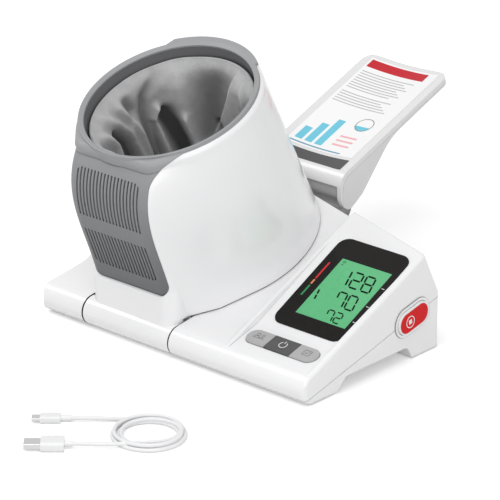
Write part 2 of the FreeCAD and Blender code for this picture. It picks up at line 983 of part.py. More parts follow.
def drum_section(body, name, level, front, inset, half=front_half):
    """A D-shaped section: flat front, round corners, straight flanks and a round back."""
    level = Size.of(level)
    radius = drum_radius(level) - inset
    centre_y = drum_centre(level)
    corner = front_corner - inset
    corner_x = half - front_corner
    front_y = inset - front
    sketch = sketch_in(body, name, "XY_Plane", level)

    hub = Vector(0, centre_y.value, 0)
    pivot = Vector(corner_x.value, front_y.value + corner.value, 0)
    apart = pivot - hub
    lead = math.atan2(apart.y, apart.x)
    turn = lead + math.acos((radius.value - corner.value) / apart.Length)
    outward = Vector(math.cos(turn), math.sin(turn), 0)
    mirror = Vector(-outward.x, outward.y, 0)
    left_pivot = Vector(-pivot.x, pivot.y, 0)
    quarter = math.pi / 2
    geometry = [
        Part.LineSegment(Vector(-pivot.x, front_y.value, 0), Vector(pivot.x, front_y.value, 0)),
        Part.ArcOfCircle(Part.Circle(pivot, ALONG_Z, corner.value), -quarter, turn),
        Part.LineSegment(pivot + outward * corner.value, hub + outward * radius.value),
        Part.ArcOfCircle(Part.Circle(hub, ALONG_Z, radius.value), turn, math.pi - turn),
        Part.LineSegment(hub + mirror * radius.value, left_pivot + mirror * corner.value),
        Part.ArcOfCircle(Part.Circle(left_pivot, ALONG_Z, corner.value), math.pi - turn, 3 * quarter),
    ]
    sketch.addGeometry(geometry, False)
    constraints = [
        Sketcher.Constraint("Tangent", index, 2, (index + 1) % 6, 1) for index in range(6)]
    constraints.append(Sketcher.Constraint("Horizontal", 0))
    bindings = []
    for arc, size in ((1, corner), (3, radius), (5, corner)):
        bindings.append((len(constraints), size))
        constraints.append(Sketcher.Constraint("Radius", arc, size.value))
    pin_point(constraints, bindings, 3, 3, NONE, centre_y)
    for geometry_index, point, size in ((1, 3, corner_x), (5, 3, -corner_x)):
        bindings.append((len(constraints), size))
        constraints.append(Sketcher.Constraint("DistanceX", -1, 1, geometry_index, point, size.value))
    bindings.append((len(constraints), front_y))
    constraints.append(Sketcher.Constraint("DistanceY", -1, 1, 0, 1, front_y.value))
    constrain(sketch, constraints, bindings)
    return sketch


def drum_form(name, inset):
    """The drum's lofted body from its foot to the seam under the ring."""
    body = document.addObject("PartDesign::Body", name)
    stations = [
        (NONE, front_foot), (waist_level / 2, (front_foot + front_waist) / 2),
        (waist_level, front_waist), (chest_level, front_chest),
        (shoulder_level, front_shoulder), (seam_level, front_neckline)]
    sketches = [
        drum_section(body, f"{name}Section{index}", level, front, inset)
        for index, (level, front) in enumerate(stations)]
    loft = body.newObject("PartDesign::AdditiveLoft", name + "Loft")
    loft.Profile = sketches[0]
    loft.Sections = sketches[1:]
    return body


def crown_form(name, top):
    """The straight band of the drum from the seam up."""
    body = document.addObject("PartDesign::Body", name)
    sketch = drum_section(body, name + "Section", seam_level, front_neckline, NONE)
    pad(body, sketch, top - seam_level)
    fillet(body, crown_edge, lambda edge: edge.BoundBox.ZMin > top.value - SLACK)
    return body


drum_outer = drum_form("DrumOuter", NONE)
drum_skin = drum_form("DrumSkin", grille_depth)
drum_inner = drum_form("DrumInner", drum_wall)
crown = crown_form("Crown", crown_level)

barrel = rod("Barrel", barrel_radius, knuckle_half, NONE, -hinge_reach, -hinge_drop)
neck = across("Neck", [
    (-hinge_reach - neck_lead, barrel_radius - hinge_drop - 1, NONE),
    (-hinge_reach, -hinge_drop, NONE),
    (-hinge_reach + barrel_radius, -hinge_drop - neck_heel, NONE),
    (drum_wall - front_foot, NONE, NONE),
    (neck_depth - front_foot, NONE, NONE),
    (neck_depth - front_foot, neck_level, NONE),
    (neck_sink - front_foot, neck_level, NONE),
], front_half)
fillet(neck, front_corner, lambda edge: (
    edge.BoundBox.XLength < SLACK and edge.BoundBox.YMax < neck_sink.value - front_foot.value + SLACK
    and edge.BoundBox.ZMax > barrel_radius.value))
drum_solid = fuse("DrumSolid", [drum_outer, crown, barrel, neck])


def tunnel(name, radius, low, high):
    """A cylinder about the axis of the arm tunnel, between two levels."""
    return cylinder(name, radius, high - low, (NONE, tunnel_centre, Size.of(low)))


cavity_floor = block("CavityBand", (2 * FAR, 2 * FAR, seam_level - ledge_height), (-FAR, -FAR, 0))
drum_cavity = common("DrumCavity", [drum_inner, cavity_floor])
front_turn = lean - deck_front_angle


def foot_line(v):
    """Height in the drum's frame of the deck's gentler front part, with its gap."""
    rise = (nose_radius + deck_gap) / cosine(front_turn) - tangent(front_turn) * (v + hinge_reach)
    return rise - hinge_drop


foot_bend = (nose_radius + deck_gap) / sine(front_turn) - hinge_drop / tangent(front_turn) - hinge_reach
foot_trim = across("FootTrim", [
    (drum_wall - front_foot, foot_line(drum_wall - front_foot), NONE),
    (drum_wall - front_foot, NONE - PAST, NONE),
    (foot_bend, NONE - PAST, NONE),
    (foot_bend, NONE, NONE),
], rim_radius + PAST)


def front_prism(name, grow):
    """The grey front, seen from the front (x, level) and grown all round by a gap.

    Its sides sweep outward at the top, where the grille meets the ring's apron.
    """
    half = grille_half + grow
    low = grille_level - grow
    flare = half + flare_width
    top = flare_level + flare_height
    return profile(name, "XZ_Plane", [
        (-half, low, grille_corner + grow), (half, low, grille_corner + grow),
        (half, flare_level, flare_radius - grow), (flare, top, NONE),
        (-flare, top, NONE), (-half, flare_level, flare_radius - grow)], front_depth, front_start)


grille_seat = cut("GrilleSeat", front_prism("GrilleSeatPrism", fit_gap), drum_skin)
grille_window = profile("GrilleWindow", "XZ_Plane", [
    (-grille_half + grille_ledge, low_bank_level - grille_ledge, grille_ledge),
    (grille_half - grille_ledge, low_bank_level - grille_ledge, grille_ledge),
    (grille_half - grille_ledge, high_bank_level + high_bank_height + 1, grille_ledge),
    (-grille_half + grille_ledge, high_bank_level + high_bank_height + 1, grille_ledge),
], front_depth, front_start)
above_seam = block("AboveSeam", (2 * FAR, 2 * FAR, seam_level), (-FAR, -FAR, seam_level))
apron_room = common("ApronRoom", [front_prism("ApronRoomPrism", fit_gap), above_seam])
shell_tools = fuse("ShellTools", [
    drum_cavity,
    tunnel("SleeveBore", sleeve_outer + fit_gap, -PAST, seam_level + PAST),
    tunnel("RingSeat", ring_outer + fit_gap, seam_level, seam_level + PAST),
    foot_trim, grille_seat, grille_window, apron_room,
    rod("KnuckleBore", pin_radius + pin_clearance, pin_half, NONE, -hinge_reach, -hinge_drop),
])
post_offset = rim_radius - drum_wall - post_radius + post_root
drum_posts = [(post_offset, rim_centre), (-post_offset, rim_centre), (NONE, rim_centre + post_offset)]
post_rods = round_group("DrumPosts", drum_posts, post_radius, drum_post_height, air_base)
hollow_drum = cut("HollowDrum", drum_solid, shell_tools)
posted_drum = fuse("PostedDrum", [hollow_drum, common("DrumPostsTrimmed", [post_rods, drum_outer])])
drum_screw_bores = round_group("DrumScrewBores", drum_posts, screw_shank, drum_post_height, NONE)
node(in_drum(cut("DrumShell", posted_drum, drum_screw_bores)), "drum_shell")

# Grille panel with its two banks of slots
grille_blank = cut("GrilleBlank", common("GrilleSkin", [
    drum_outer, front_prism("GrillePrism", NONE)]), fuse(
        "GrilleBack", [drum_skin, tunnel("GrilleBore", sleeve_outer + fit_gap, 0, seam_level)]))


def slot_bank(name, low, height, corners):
    """A bank of upright slots, its outer slots shortened by the bank's round corners."""
    body = document.addObject("PartDesign::Body", name)
    sketch = sketch_in(body, name + "Slot", "XZ_Plane", front_start)
    outline(sketch, rectangle(
        -slot_pitch * (slot_count - 1) / 2, low + height / 2, slot_width, height))
    slot = pad(body, sketch, front_depth)
    pattern = body.newObject("PartDesign::LinearPattern", name + "Slots")
    pattern.Originals = [slot]
    pattern.Direction = (sketch, ["H_Axis"])
    bind(pattern, "Length", slot_pitch * (slot_count - 1))
    bind(pattern, "Occurrences", slot_count)
    body.Tip = pattern
    half = slot_pitch * slot_count / 2
    limit = profile(name + "Limit", "XZ_Plane", [
        (-half, low, corners[0]), (half, low, corners[0]),
        (half, low + height, corners[1]), (-half, low + height, corners[1])],
        front_depth, front_start)
    return common(name + "Bank", [body, limit])


slots = fuse("GrilleSlots", [
    slot_bank("LowBank", low_bank_level, low_bank_height, (slot_bank_corner, NONE)),
    slot_bank("HighBank", high_bank_level, high_bank_height, (NONE, slot_bank_corner))])
node(in_drum(cut("GrillePanel", grille_blank, slots)), "grille_panel")

# Ring on top, with its front apron and rear lug
ring_body = document.addObject("PartDesign::Body", "RingBody")
ring_sketch = sketch_in(ring_body, "RingProfile", "XZ_Plane")
outline(ring_sketch, [
    (sleeve_outer + fit_gap, seam_level, NONE),
    (ring_outer, seam_level, NONE),
    (ring_outer, ring_level + ring_slope, ring_land / 2),
    (ring_outer - ring_land, ring_level + ring_slope, ring_land / 2),
    (ring_inner, ring_level, ring_land / 2),
    (ring_inner, ring_level - ring_flange, NONE),
    (sleeve_outer + fit_gap, ring_level - ring_flange, NONE),
])
ring_turn = ring_body.newObject("PartDesign::Revolution", "RingTurn")
ring_turn.Profile = ring_sketch
ring_turn.ReferenceAxis = (ring_sketch, ["V_Axis"])
ring_turn.Angle = 360
place(ring_body, (NONE, tunnel_centre, NONE))
apron = cut("Apron", common("ApronBlock", [
    crown_form("ApronForm", ring_level), front_prism("ApronPrism", NONE),
    block("ApronBand", (2 * FAR, 2 * FAR, seam_level), (-FAR, -FAR, seam_level + fit_gap))]),
    tunnel("ApronBore", ring_outer - 1, 0, 2 * seam_level))
lug_round = cylinder(
    "LugRound", ring_outer, lug_height,
    (lug_offset * cosine(lug_direction), tunnel_centre + lug_offset * sine(lug_direction),
     ring_level + ring_slope - lug_height))


def round_tunnel(angle, radius):
    """The point (x, y) at an angle and radius about the arm tunnel's axis."""
    return radius * cosine(angle), tunnel_centre + radius * sine(angle)


start_x, start_y = round_tunnel(lug_start, 2 * ring_outer)
ramp_x, ramp_y = round_tunnel(lug_end, ring_outer)
lug_sector = profile("LugSector", "XY_Plane", [
    (NONE, tunnel_centre, NONE), (start_x, start_y, NONE),
    (ramp_x + ring_outer * cosine(lug_ramp), ramp_y + ring_outer * sine(lug_ramp), NONE),
    (ramp_x, ramp_y, NONE)], 2 * lug_height, ring_level - lug_height)
lug = cut("Lug", common("LugBlock", [lug_round, lug_sector]),
          tunnel("LugBore", ring_outer - 1, 0, 2 * seam_level))
node(in_drum(fuse("RingFrame", [ring_body, apron, lug])), "ring_frame")

# Sleeve, bladder and cloth cuff
node(in_drum(cut(
    "InnerSleeve",
    tunnel("SleeveRound", sleeve_outer, sleeve_foot, ring_level - ring_flange - soft_gap),
    tunnel("SleeveHole", ring_inner, 0, ring_level))), "inner_sleeve")
node(in_drum(cut(
    "Bladder", tunnel("BladderRound", bladder_outer, bladder_level, bladder_level + bladder_length),
    tunnel("BladderHole", bladder_outer - bladder_thickness, 0, ring_level))), "air_bladder")
node(in_drum(cut(
    "Liner", tunnel("LinerRound", liner_outer, liner_level, liner_level + liner_length),
    tunnel("LinerHole", liner_outer - liner_thickness, 0, ring_level))), "cuff_liner")

# Floor of the drum and the air parts that stand on it
floor_body = document.addObject("PartDesign::Body", "DrumFloorForm")
floor_sketch = drum_section(
    floor_body, "DrumFloorSection", drum_floor_level, front_foot, drum_wall + drum_floor_gap)
pad(floor_body, floor_sketch, drum_floor_thickness)
node(in_drum(cut("DrumFloor", floor_body, fuse("DrumFloorHoles", [
    tunnel("DrumFloorBore", sleeve_outer + fit_gap, 0, PAST),
    round_group("FloorScrewHoles", drum_posts, screw_shank, PAST, NONE)]))), "drum_floor")

pump_head_level = air_base + pump_length
node(in_drum(fuse("Pump", [
    cylinder("PumpMotor", pump_radius, pump_length, (pump_x, air_v, air_base)),
    cylinder("PumpHead", pump_head_radius, pump_head_length, (pump_x, air_v, pump_head_level)),
    cylinder("PumpSpigot", spigot_radius, spigot_length,
             (pump_x, air_v, pump_head_level + pump_head_length))])), "air_pump")
node(in_drum(fuse("Valve", [
    cylinder("ValveCoil", valve_radius, valve_length, (valve_x, air_v, air_base)),
    cylinder("ValveSpigot", spigot_radius, spigot_length,
             (valve_x, air_v, air_base + valve_length))])), "release_valve")
node(in_drum(profile(
    "Manifold", "XY_Plane", rectangle(NONE, air_v - 2, manifold_width, manifold_depth),
    manifold_height, air_base)), "air_manifold")
node(in_drum(profile(
    "AirBoard", "XY_Plane",
    rectangle(air_board_x, air_board_v, air_board_width, board_thickness),
    air_board_height, air_base)), "pressure_board")


def screws(name, places, head_z, length):
    """Screws with their heads down, as one object of separate solids."""
    parts = []
    for index, (x, y) in enumerate(places):
        head = cylinder(f"{name}Head{index}", screw_head, screw_head_height, (x, y, head_z))
        shank = cylinder(
            f"{name}Shank{index}", screw_shank, length, (x, y, head_z + screw_head_height))
        parts += [head, shank]
    return fuse(name, parts)


node(in_drum(screws(
    "DrumScrews", drum_posts, drum_floor_level - screw_head_height, drum_screw_length)),
     "drum_screws")

# ---------------------------------------------------------------- instruction tray

tray_half = tray_width / 2
tray_profile = across("TrayProfile", [
    (-tray_heel / 2, tray_top_level, tray_nose_round),
    (-tray_heel, tray_heel_level, tray_nose_round),
    (-tray_heel / 2, tray_sole_level, tray_toe_round),
    (tray_sole, -tray_sole_drop, tray_sole_round),
    (tray_belly, tray_under_level, tray_belly_round),
    (tray_length, tray_under_level, tray_edge),
    (tray_length, tray_top_level, tray_edge),
], tray_half)
tray_plan = profile("TrayPlan", "XY_Plane", [
    (-tray_half, NONE - FAR, NONE), (tray_half, NONE - FAR, NONE),
    (tray_half, tray_length, tray_far_corner), (-tray_half, tray_length, tray_far_corner)],
    2 * FAR, NONE - FAR)
tray_form = common("TrayForm", [tray_profile, tray_plan])


def under_region(name, gap):
    """The region below the tray's cap, kept back by a gap."""
    return across(name, [
        (-tray_heel / 2 + tray_cap + gap, tray_split - gap, tray_nose_round - tray_cap),
        (-tray_heel + tray_cap + gap, tray_heel_level, NONE),
        (-tray_heel + tray_cap + gap, NONE - FAR, NONE),
        (FAR, NONE - FAR, NONE),
        (FAR, tray_split - gap, NONE),
    ], FAR)


trough = cylinder(
    "Trough", trough_radius, tray_length, (NONE, trough_start, trough_centre), ALONG_X, -90)
knuckle_room = rod(
    "KnuckleRoom", tray_knuckle + tray_knuckle_gap, bracket_half + tray_side_gap, NONE, NONE, NONE)
heel_room = across("HeelRoom", [
    (-FAR, FAR, NONE), (-FAR, -FAR, NONE), (FAR, -FAR, NONE), (NONE, NONE, NONE)],
    bracket_half + tray_side_gap)
node(in_tray(cut("TrayTop", tray_form, fuse("TrayTopTools", [
    under_region("UnderRoom", NONE), trough, knuckle_room, heel_room]))), "tray_top")

tray_hollow = across("TrayHollow", [
    (NONE - FAR, tray_split + 1, NONE),
    (NONE - FAR, NONE - FAR, NONE),
    (tray_lip, NONE - FAR, NONE),
    (tray_lip, -tray_sole_drop, NONE),
    (tray_sole, tray_wall - tray_sole_drop, NONE),
    (tray_belly, tray_split + 1, NONE)], bracket_half + tray_side_gap)
tray_pin_bore = rod("TrayPinBore", tray_pin_radius, tray_half - 1, NONE, NONE, NONE)
node(in_tray(cut("TrayUnder", common("TrayUnderForm", [
    tray_form, under_region("UnderBody", fit_gap)]), fuse("TrayUnderTools", [
        tray_hollow, tray_pin_bore]))), "tray_under")


def trough_sheet(name, thickness, half, start, end):
    """A thin sheet glued into the tray's trough."""
    radius = trough_radius - film_gap
    ring = cut(
        name + "Ring",
        cylinder(name + "Round", radius, end - start, (NONE, start, trough_centre), ALONG_X, -90),
        cylinder(name + "Core", radius - thickness, end - start, (NONE, start, trough_centre),
                 ALONG_X, -90))
    return common(name, [ring, block(
        name + "Band", (2 * half, end - start, 2 * tray_top_level), (-half, start, NONE))])


node(in_tray(trough_sheet("TrayLabel", label_thickness, label_half, label_start, label_end)),
     "tray_label")
node(in_tray(trough_sheet(
    "TrayStrip", strip_thickness, label_half, trough_start + 1, trough_start + 1 + strip_length)),
     "tray_strip")
node(rod("TrayPin", tray_pin_radius, tray_half - 1, tray_x, tray_hinge_y, tray_hinge_z), "tray_pin")

bracket_head = rod("BracketHead", tray_knuckle, bracket_half, tray_x, tray_hinge_y, tray_hinge_z)
bracket_arm = across("BracketArm", [
    (tray_hinge_y - bracket_neck, tray_hinge_z - bracket_back, NONE),
    (tray_hinge_y - bracket_neck, tray_hinge_z - bracket_shelf, bracket_neck),
    (tray_hinge_y - bracket_reach, tray_hinge_z - bracket_shelf, NONE),
    (tray_hinge_y - bracket_reach, tray_hinge_z - bracket_foot, NONE),
    (tray_hinge_y, tray_hinge_z - bracket_foot, bracket_back),
    (tray_hinge_y + bracket_back, tray_hinge_z - bracket_shelf - bracket_neck, bracket_back),
    (tray_hinge_y + bracket_back, tray_hinge_z - bracket_back, NONE)], bracket_half, tray_x)
node(cut("TrayBracket", fuse("BracketBlock", [bracket_head, bracket_arm]), fuse("BracketTools", [
    outer_form,
    rod("BracketBore", tray_pin_radius + pin_clearance, tray_half, tray_x, tray_hinge_y,
        tray_hinge_z)])), "tray_bracket")

# ---------------------------------------------------------------- battery, socket, feet, screws

node(block("Battery", (battery_length, battery_width, battery_height),
           (drum_x - battery_length / 2, battery_y, arch_height + base_wall)), "battery_pack")
socket_body = profile(
    "SocketShell", "XZ_Plane",
    rectangle(NONE, NONE, socket_width, socket_height, socket_height / 2 * ROUND),
    socket_depth, NONE)
socket_hole = profile(
    "SocketHole", "XZ_Plane",
    rectangle(NONE, NONE, socket_width - 2 * plug_metal_wall, socket_height - 2 * plug_metal_wall,
              (socket_height / 2 - plug_metal_wall) * ROUND),
    socket_depth - 1, NONE)
node(at_socket(cut("Socket", socket_body, socket_hole)), "usb_c_socket")
node(round_group("Feet", foot_places, foot_radius - fit_gap, foot_thickness, NONE), "rubber_feet")
node(screws("BaseScrews", screw_places, base_bottom + screw_recess - screw_head_height,
            base_screw_length), "base_screws")

# ---------------------------------------------------------------- charging cable

def coil_form(name):
    """The outer shape of the coiled cord: a flat ring with round edges."""
    body = document.addObject("PartDesign::Body", name)
    sketch = sketch_in(body, name + "Profile", "XZ_Plane")
    outline(sketch, rectangle(
        (coil_inner + coil_outer) / 2, coil_height / 2, coil_outer - coil_inner, coil_height,
        coil_edge))
    turn = body.newObject("PartDesign::Revolution", name + "Turn")
    turn.Profile = sketch
    turn.ReferenceAxis = (sketch, ["V_Axis"])
    turn.Angle = 360
    return body


node(on_cable(coil_form("Coil")), "cable_coil")
coil_tool = coil_form("CoilTool")


def plug(name, letter, side, tip, sizes, reach_in):
    """A plug and its tail of cord, pointing to the local -X at a side offset from the coil."""
    metal, metal_width, metal_height, length, width, height, relief = sizes
    centre_z = height / 2
    body_end = -tip + metal + length
    relief_end = body_end + relief
    shell = profile(
        name + "Metal", "YZ_Plane",
        rectangle(side, centre_z, metal_width, metal_height, plug_metal_corner), metal, -tip)
    hole = profile(
        name + "Mouth", "YZ_Plane",
        rectangle(side, centre_z, metal_width - 2 * plug_metal_wall, metal_height - 2 * plug_metal_wall),
        metal, -tip - 1)
    node(on_cable(cut(name + "Shell", shell, hole)), f"usb_{letter}_shell")
    grip = profile(
        name + "Grip", "YZ_Plane", rectangle(side, centre_z, width, height, height / 3),
        length, -tip + metal)
    sleeve = cylinder(name + "Relief", relief_radius, relief, (body_end, side, centre_z), ALONG_Y, 90)
    node(on_cable(fuse(name + "Handle", [grip, sleeve])), f"usb_{letter}_grip")
    cord = cylinder(
        name + "Cord", cord_radius, reach_in - relief_end, (relief_end, side, centre_z), ALONG_Y, 90)
    node(on_cable(cut(name + "Tail", cord, coil_tool)), f"cable_tail_{letter}")


plug("PlugC", "c", tail_c_offset, plug_c_tip, (
    plug_c_metal, plug_c_metal_width, plug_c_metal_height,
    plug_c_body, plug_c_width, plug_c_height, plug_c_relief), -coil_inner / 2)
plug("PlugA", "a", -tail_a_offset, plug_a_tip, (
    plug_a_metal, plug_a_metal_width, plug_a_metal_height,
    plug_a_body, plug_a_width, plug_a_height, plug_a_relief), -coil_inner)
node(on_cable(profile(
    "PlugATongue", "YZ_Plane",
    rectangle(-tail_a_offset, plug_a_tongue_level,
              plug_a_metal_width - 2 * (plug_metal_wall + plug_metal_corner), plug_a_tongue),
    plug_a_metal - 2 * plug_a_tongue_set, plug_a_tongue_set - plug_a_tip)), "usb_a_tongue")

# ---------------------------------------------------------------- check and write

document.recompute()
troubled = [
    item.Name for item in document.Objects if {"Invalid", "Error"} & set(item.State)]
if troubled:
    raise RuntimeError("objects that did not build: " + ", ".join(troubled))
for item in nodes:
    if item.Shape.isNull() or not item.Shape.isValid():
        raise RuntimeError("bad shape: " + item.Label)
    if not item.Shape.Solids:
        raise RuntimeError("no solid: " + item.Label)

os.makedirs("parts", exist_ok=True)
for item in nodes:
    item.Shape.exportStep(f"parts/{item.Label}.step")
    box = item.Shape.BoundBox
    print(f"{item.Label:18s} solids {len(item.Shape.Solids)} volume {item.Shape.Volume:9.0f} "
          f"x {box.XMin:7.1f} {box.XMax:7.1f} y {box.YMin:7.1f} {box.YMax:7.1f} "
          f"z {box.ZMin:6.1f} {box.ZMax:6.1f}")
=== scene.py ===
"""Finishes, cloth, print, cord and studio for the arm-in blood pressure monitor.

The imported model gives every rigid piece.  This script adds the folded cuff cloth, the coiled
charging cord, the marks on the display and keys, the print on the tray and a small studio.
"""

import json
import math

import bpy
from bpy.props import (
    FloatProperty, FloatVectorProperty, IntProperty, PointerProperty, StringProperty)
from mathutils import Matrix, Vector, noise

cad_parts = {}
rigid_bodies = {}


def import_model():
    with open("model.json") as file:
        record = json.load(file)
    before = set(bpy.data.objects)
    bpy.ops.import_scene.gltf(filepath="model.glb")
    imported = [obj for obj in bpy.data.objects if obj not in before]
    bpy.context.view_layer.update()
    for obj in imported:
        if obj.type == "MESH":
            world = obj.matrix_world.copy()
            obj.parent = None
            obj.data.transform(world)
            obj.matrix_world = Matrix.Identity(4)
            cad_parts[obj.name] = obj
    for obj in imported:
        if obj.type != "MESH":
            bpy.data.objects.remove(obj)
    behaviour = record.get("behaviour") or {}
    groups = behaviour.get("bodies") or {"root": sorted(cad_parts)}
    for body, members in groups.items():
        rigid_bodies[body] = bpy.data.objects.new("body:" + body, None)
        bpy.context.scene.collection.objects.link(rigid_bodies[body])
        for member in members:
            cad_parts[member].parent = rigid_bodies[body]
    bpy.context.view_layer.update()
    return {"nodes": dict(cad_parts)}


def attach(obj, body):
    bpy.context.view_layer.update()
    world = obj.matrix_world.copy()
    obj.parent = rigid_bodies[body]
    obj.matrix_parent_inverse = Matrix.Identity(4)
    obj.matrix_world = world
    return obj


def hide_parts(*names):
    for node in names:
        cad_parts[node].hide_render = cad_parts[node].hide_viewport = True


bl_info = {
    "name": "Arm-in blood pressure monitor",
    "version": (1, 0, 0),
    "blender": (4, 5, 0),
    "location": "View3D > Sidebar > Monitor",
    "description": "Finishes, cuff cloth, charging cord, print and studio for the packed monitor",
    "category": "Object",
}

for leftover in list(bpy.data.objects):
    bpy.data.objects.remove(leftover)
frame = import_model()
NODES = frame["nodes"]
MM = 0.001


# -------------------------------- places

class Place:
    """A flat frame of its own on the object: an origin, a direction across and one up the slope."""

    def __init__(self, origin, tilt, turn=0):
        self.origin = Vector(origin) * MM
        heading = Matrix.Rotation(math.radians(turn), 3, "Z")
        spin = heading @ Matrix.Rotation(math.radians(tilt), 3, "X")
        self.across, self.up, self.out = (column.copy() for column in spin.col)

    def point(self, x, y, z):
        """Where x, y, z millimetres in this frame lie on the object, in metres."""
        return self.origin + (self.across * x + self.up * y + self.out * z) * MM


LEAN, DECK_TILT = 22.5, 15.6
SCREEN = Place((0, -76.4, 62), 26.3)
KEYS = Place((99.5, -144.6, 31.36), DECK_TILT)
DRUM = Place((-49.5, -53.877, 61.161), LEAN)
TRAY = Place((-45, 55.6, 84), 21)
CABLE = Place((90, -289.4, 0), 0, 41.9)
TABLE = Place((0, 0, 0), 0)


class SidePlace(Place):
    """A frame on the right-hand wall: across runs up the wall's slope, out points to the right."""

    def __init__(self, origin, tilt):
        slope = math.radians(tilt)
        self.origin = Vector(origin) * MM
        self.across = Vector((0, math.cos(slope), math.sin(slope)))
        self.up = Vector((0, -math.sin(slope), math.cos(slope)))
        self.out = Vector((1, 0, 0))


STOP = SidePlace((147, -39.2, 36.8), 12)


# -------------------------------- finishes

def paint(red, green, blue):
    """A display colour, 0 to 255 each, as the shader's linear colour."""
    def linear(level):
        level = level / 255
        return level / 12.92 if level <= 0.04045 else ((level + 0.055) / 1.055) ** 2.4
    return (linear(red), linear(green), linear(blue), 1.0)


def grey(level):
    return paint(level, level, level)


class Signal:
    """A node's output; arithmetic on it adds Math nodes."""

    def __init__(self, nodes, socket):
        self.nodes = nodes
        self.socket = socket

    def math(self, operation, *values):
        return self.nodes.add("ShaderNodeMath", {"operation": operation}, values)

    def __add__(self, other):
        return self.math("ADD", self, other)

    def __radd__(self, other):
        return self.math("ADD", other, self)

    def __sub__(self, other):
        return self.math("SUBTRACT", self, other)

    def __rsub__(self, other):
        return self.math("SUBTRACT", other, self)

    def __mul__(self, other):
        return self.math("MULTIPLY", self, other)

    def __rmul__(self, other):
        return self.math("MULTIPLY", other, self)

    def __truediv__(self, other):
        return self.math("DIVIDE", self, other)

    def __rtruediv__(self, other):
        return self.math("DIVIDE", other, self)

    def __pow__(self, other):
        return self.math("POWER", self, other)

    def __rpow__(self, other):
        return self.math("POWER", other, self)

    def __gt__(self, other):
        return self.math("GREATER_THAN", self, other)

    def __lt__(self, other):
        return self.math("LESS_THAN", self, other)

    def __mod__(self, other):
        return self.math("MODULO", self, other)

    def __rmod__(self, other):
        return self.math("MODULO", other, self)

    def __abs__(self):
        return self.math("ABSOLUTE", self)

    def floor(self):
        return self.math("FLOOR", self)

    def between(self, low, high):
        return (self > low) * (self < high)


class Nodes:
    """A node tree that ends in one shader."""

    def __init__(self, owner, shader):
        owner.use_nodes = True
        self.tree = owner.node_tree
        self.shader = self.tree.nodes[shader]

    def feed(self, socket, value):
        """Link a signal to a socket, or give the socket a value."""
        if isinstance(value, Signal):
            self.tree.links.new(value.socket, socket)
        else:
            socket.default_value = value

    def add(self, kind, settings=None, inputs=None, output=0):
        """One node: its type, its settings, then the values or links of its sockets."""
        node = self.tree.nodes.new(kind)
        for key, value in (settings or {}).items():
            setattr(node, key, value)
        pairs = inputs.items() if isinstance(inputs, dict) else enumerate(inputs or ())
        for key, value in pairs:
            self.feed(node.inputs[key], value)
        return Signal(self, node.outputs[output])

    def set(self, **sockets):
        """The shader's sockets by name, with spaces written as underscores."""
        for key, value in sockets.items():
            self.feed(self.shader.inputs[key.replace("_", " ")], value)
        return self

    def mix(self, factor, first, second):
        return self.add(
            "ShaderNodeMix", {"data_type": "RGBA"}, {0: factor, 6: first, 7: second}, 2)

    def seen_rays(self):
        """1 or more for rays from the camera, straight, mirrored or through something clear."""
        camera, mirrored, through = (
            self.add("ShaderNodeLightPath", output=f"Is {kind} Ray")
            for kind in ("Camera", "Glossy", "Transmission"))
        return camera + mirrored + through


class Finish(Nodes):
    """A material built from a Principled shader."""

    def __init__(self, name):
        self.material = bpy.data.materials.new(name)
        super().__init__(self.material, "Principled BSDF")

    def here(self):
        return self.add("ShaderNodeTexCoord", output="Object")

    def along(self, place, axis):
        """Millimetres along one of a place's directions."""
        offset = self.add(
            "ShaderNodeVectorMath", {"operation": "SUBTRACT"}, [self.here(), place.origin])
        return self.add(
            "ShaderNodeVectorMath", {"operation": "DOT_PRODUCT"}, [offset, axis], "Value") / MM

    def noise(self, grain, detail, stretch=(1, 1, 1)):
        """Soft noise with a grain in millimetres."""
        where = self.add(
            "ShaderNodeVectorMath", {"operation": "MULTIPLY"}, [self.here(), Vector(stretch)])
        scale = 1 / (grain * MM)
        return self.add(
            "ShaderNodeTexNoise", {}, {"Vector": where, "Scale": scale, "Detail": detail})

    def bump(self, height, depth, strength=1.0, edge=0.0):
        """A Normal from a height of 0 to 1 that stands for depth millimetres, on eased edges."""
        sockets = {"Strength": strength, "Distance": depth * MM, "Height": height}
        if edge:
            sockets["Normal"] = self.add(
                "ShaderNodeBevel", {"samples": 6}, {"Radius": edge * MM})
        return self.add("ShaderNodeBump", {}, sockets)


def shade(colour, factor):
    return tuple(channel * factor for channel in colour[:3]) + (1.0,)


# Plastic: grain of the mottle, how far the gloss swings with the mottle and the fine texture, and
# for the painted shade in gaps its reach, how softly it comes in and how dark it gets.
MOTTLE_GRAIN = 35
GLOSS_BROAD, GLOSS_FINE = 0.12, 0.06
GAP_REACH, GAP_EASE, GAP_SHADE = 1.6, 0.35, 0.25
PLASTIC_IOR = 1.5


def moulded(name, colour, roughness, coat=0.0, grain=0.6, depth=0.01, mottle=0.03, edge=0.0,
            dust_and_shade=0.3):
    """Injection-moulded plastic: a faint mottle, fine texture, uneven gloss and eased edges.

    With an edge radius, narrow gaps get painted shade too, full where their openness is at or below
    the level given last.
    """
    finish = Finish(name)
    broad = finish.noise(MOTTLE_GRAIN, 3)
    fine = finish.noise(grain, 2)
    tint = finish.mix(broad, shade(colour, 1 - mottle), shade(colour, 1 + mottle))
    if edge:
        # Painted shade: ambient occlusion darkens the colour in narrow gaps and crevices.
        gap = finish.add(
            "ShaderNodeAmbientOcclusion", {"samples": 8}, {"Distance": GAP_REACH * MM}, "AO")
        tint = finish.mix((gap - dust_and_shade) / GAP_EASE, shade(colour, GAP_SHADE), tint)
    finish.tint = tint
    return finish.set(
        Base_Color=tint,
        Roughness=roughness + (broad - 0.5) * GLOSS_BROAD + (fine - 0.5) * GLOSS_FINE,
        Normal=finish.bump(fine, depth, edge=edge), Coat_Weight=coat, Coat_Roughness=0.12,
        IOR=PLASTIC_IOR)


def glossy_shell(name, colour, roughness=0.24, coat=0.5):
    """The smooth, hard plastic of the outer shells, with painted shade in narrow gaps."""
    return moulded(
        name, colour, roughness, coat, grain=2.2, depth=0.004, mottle=0.008, edge=0.9)


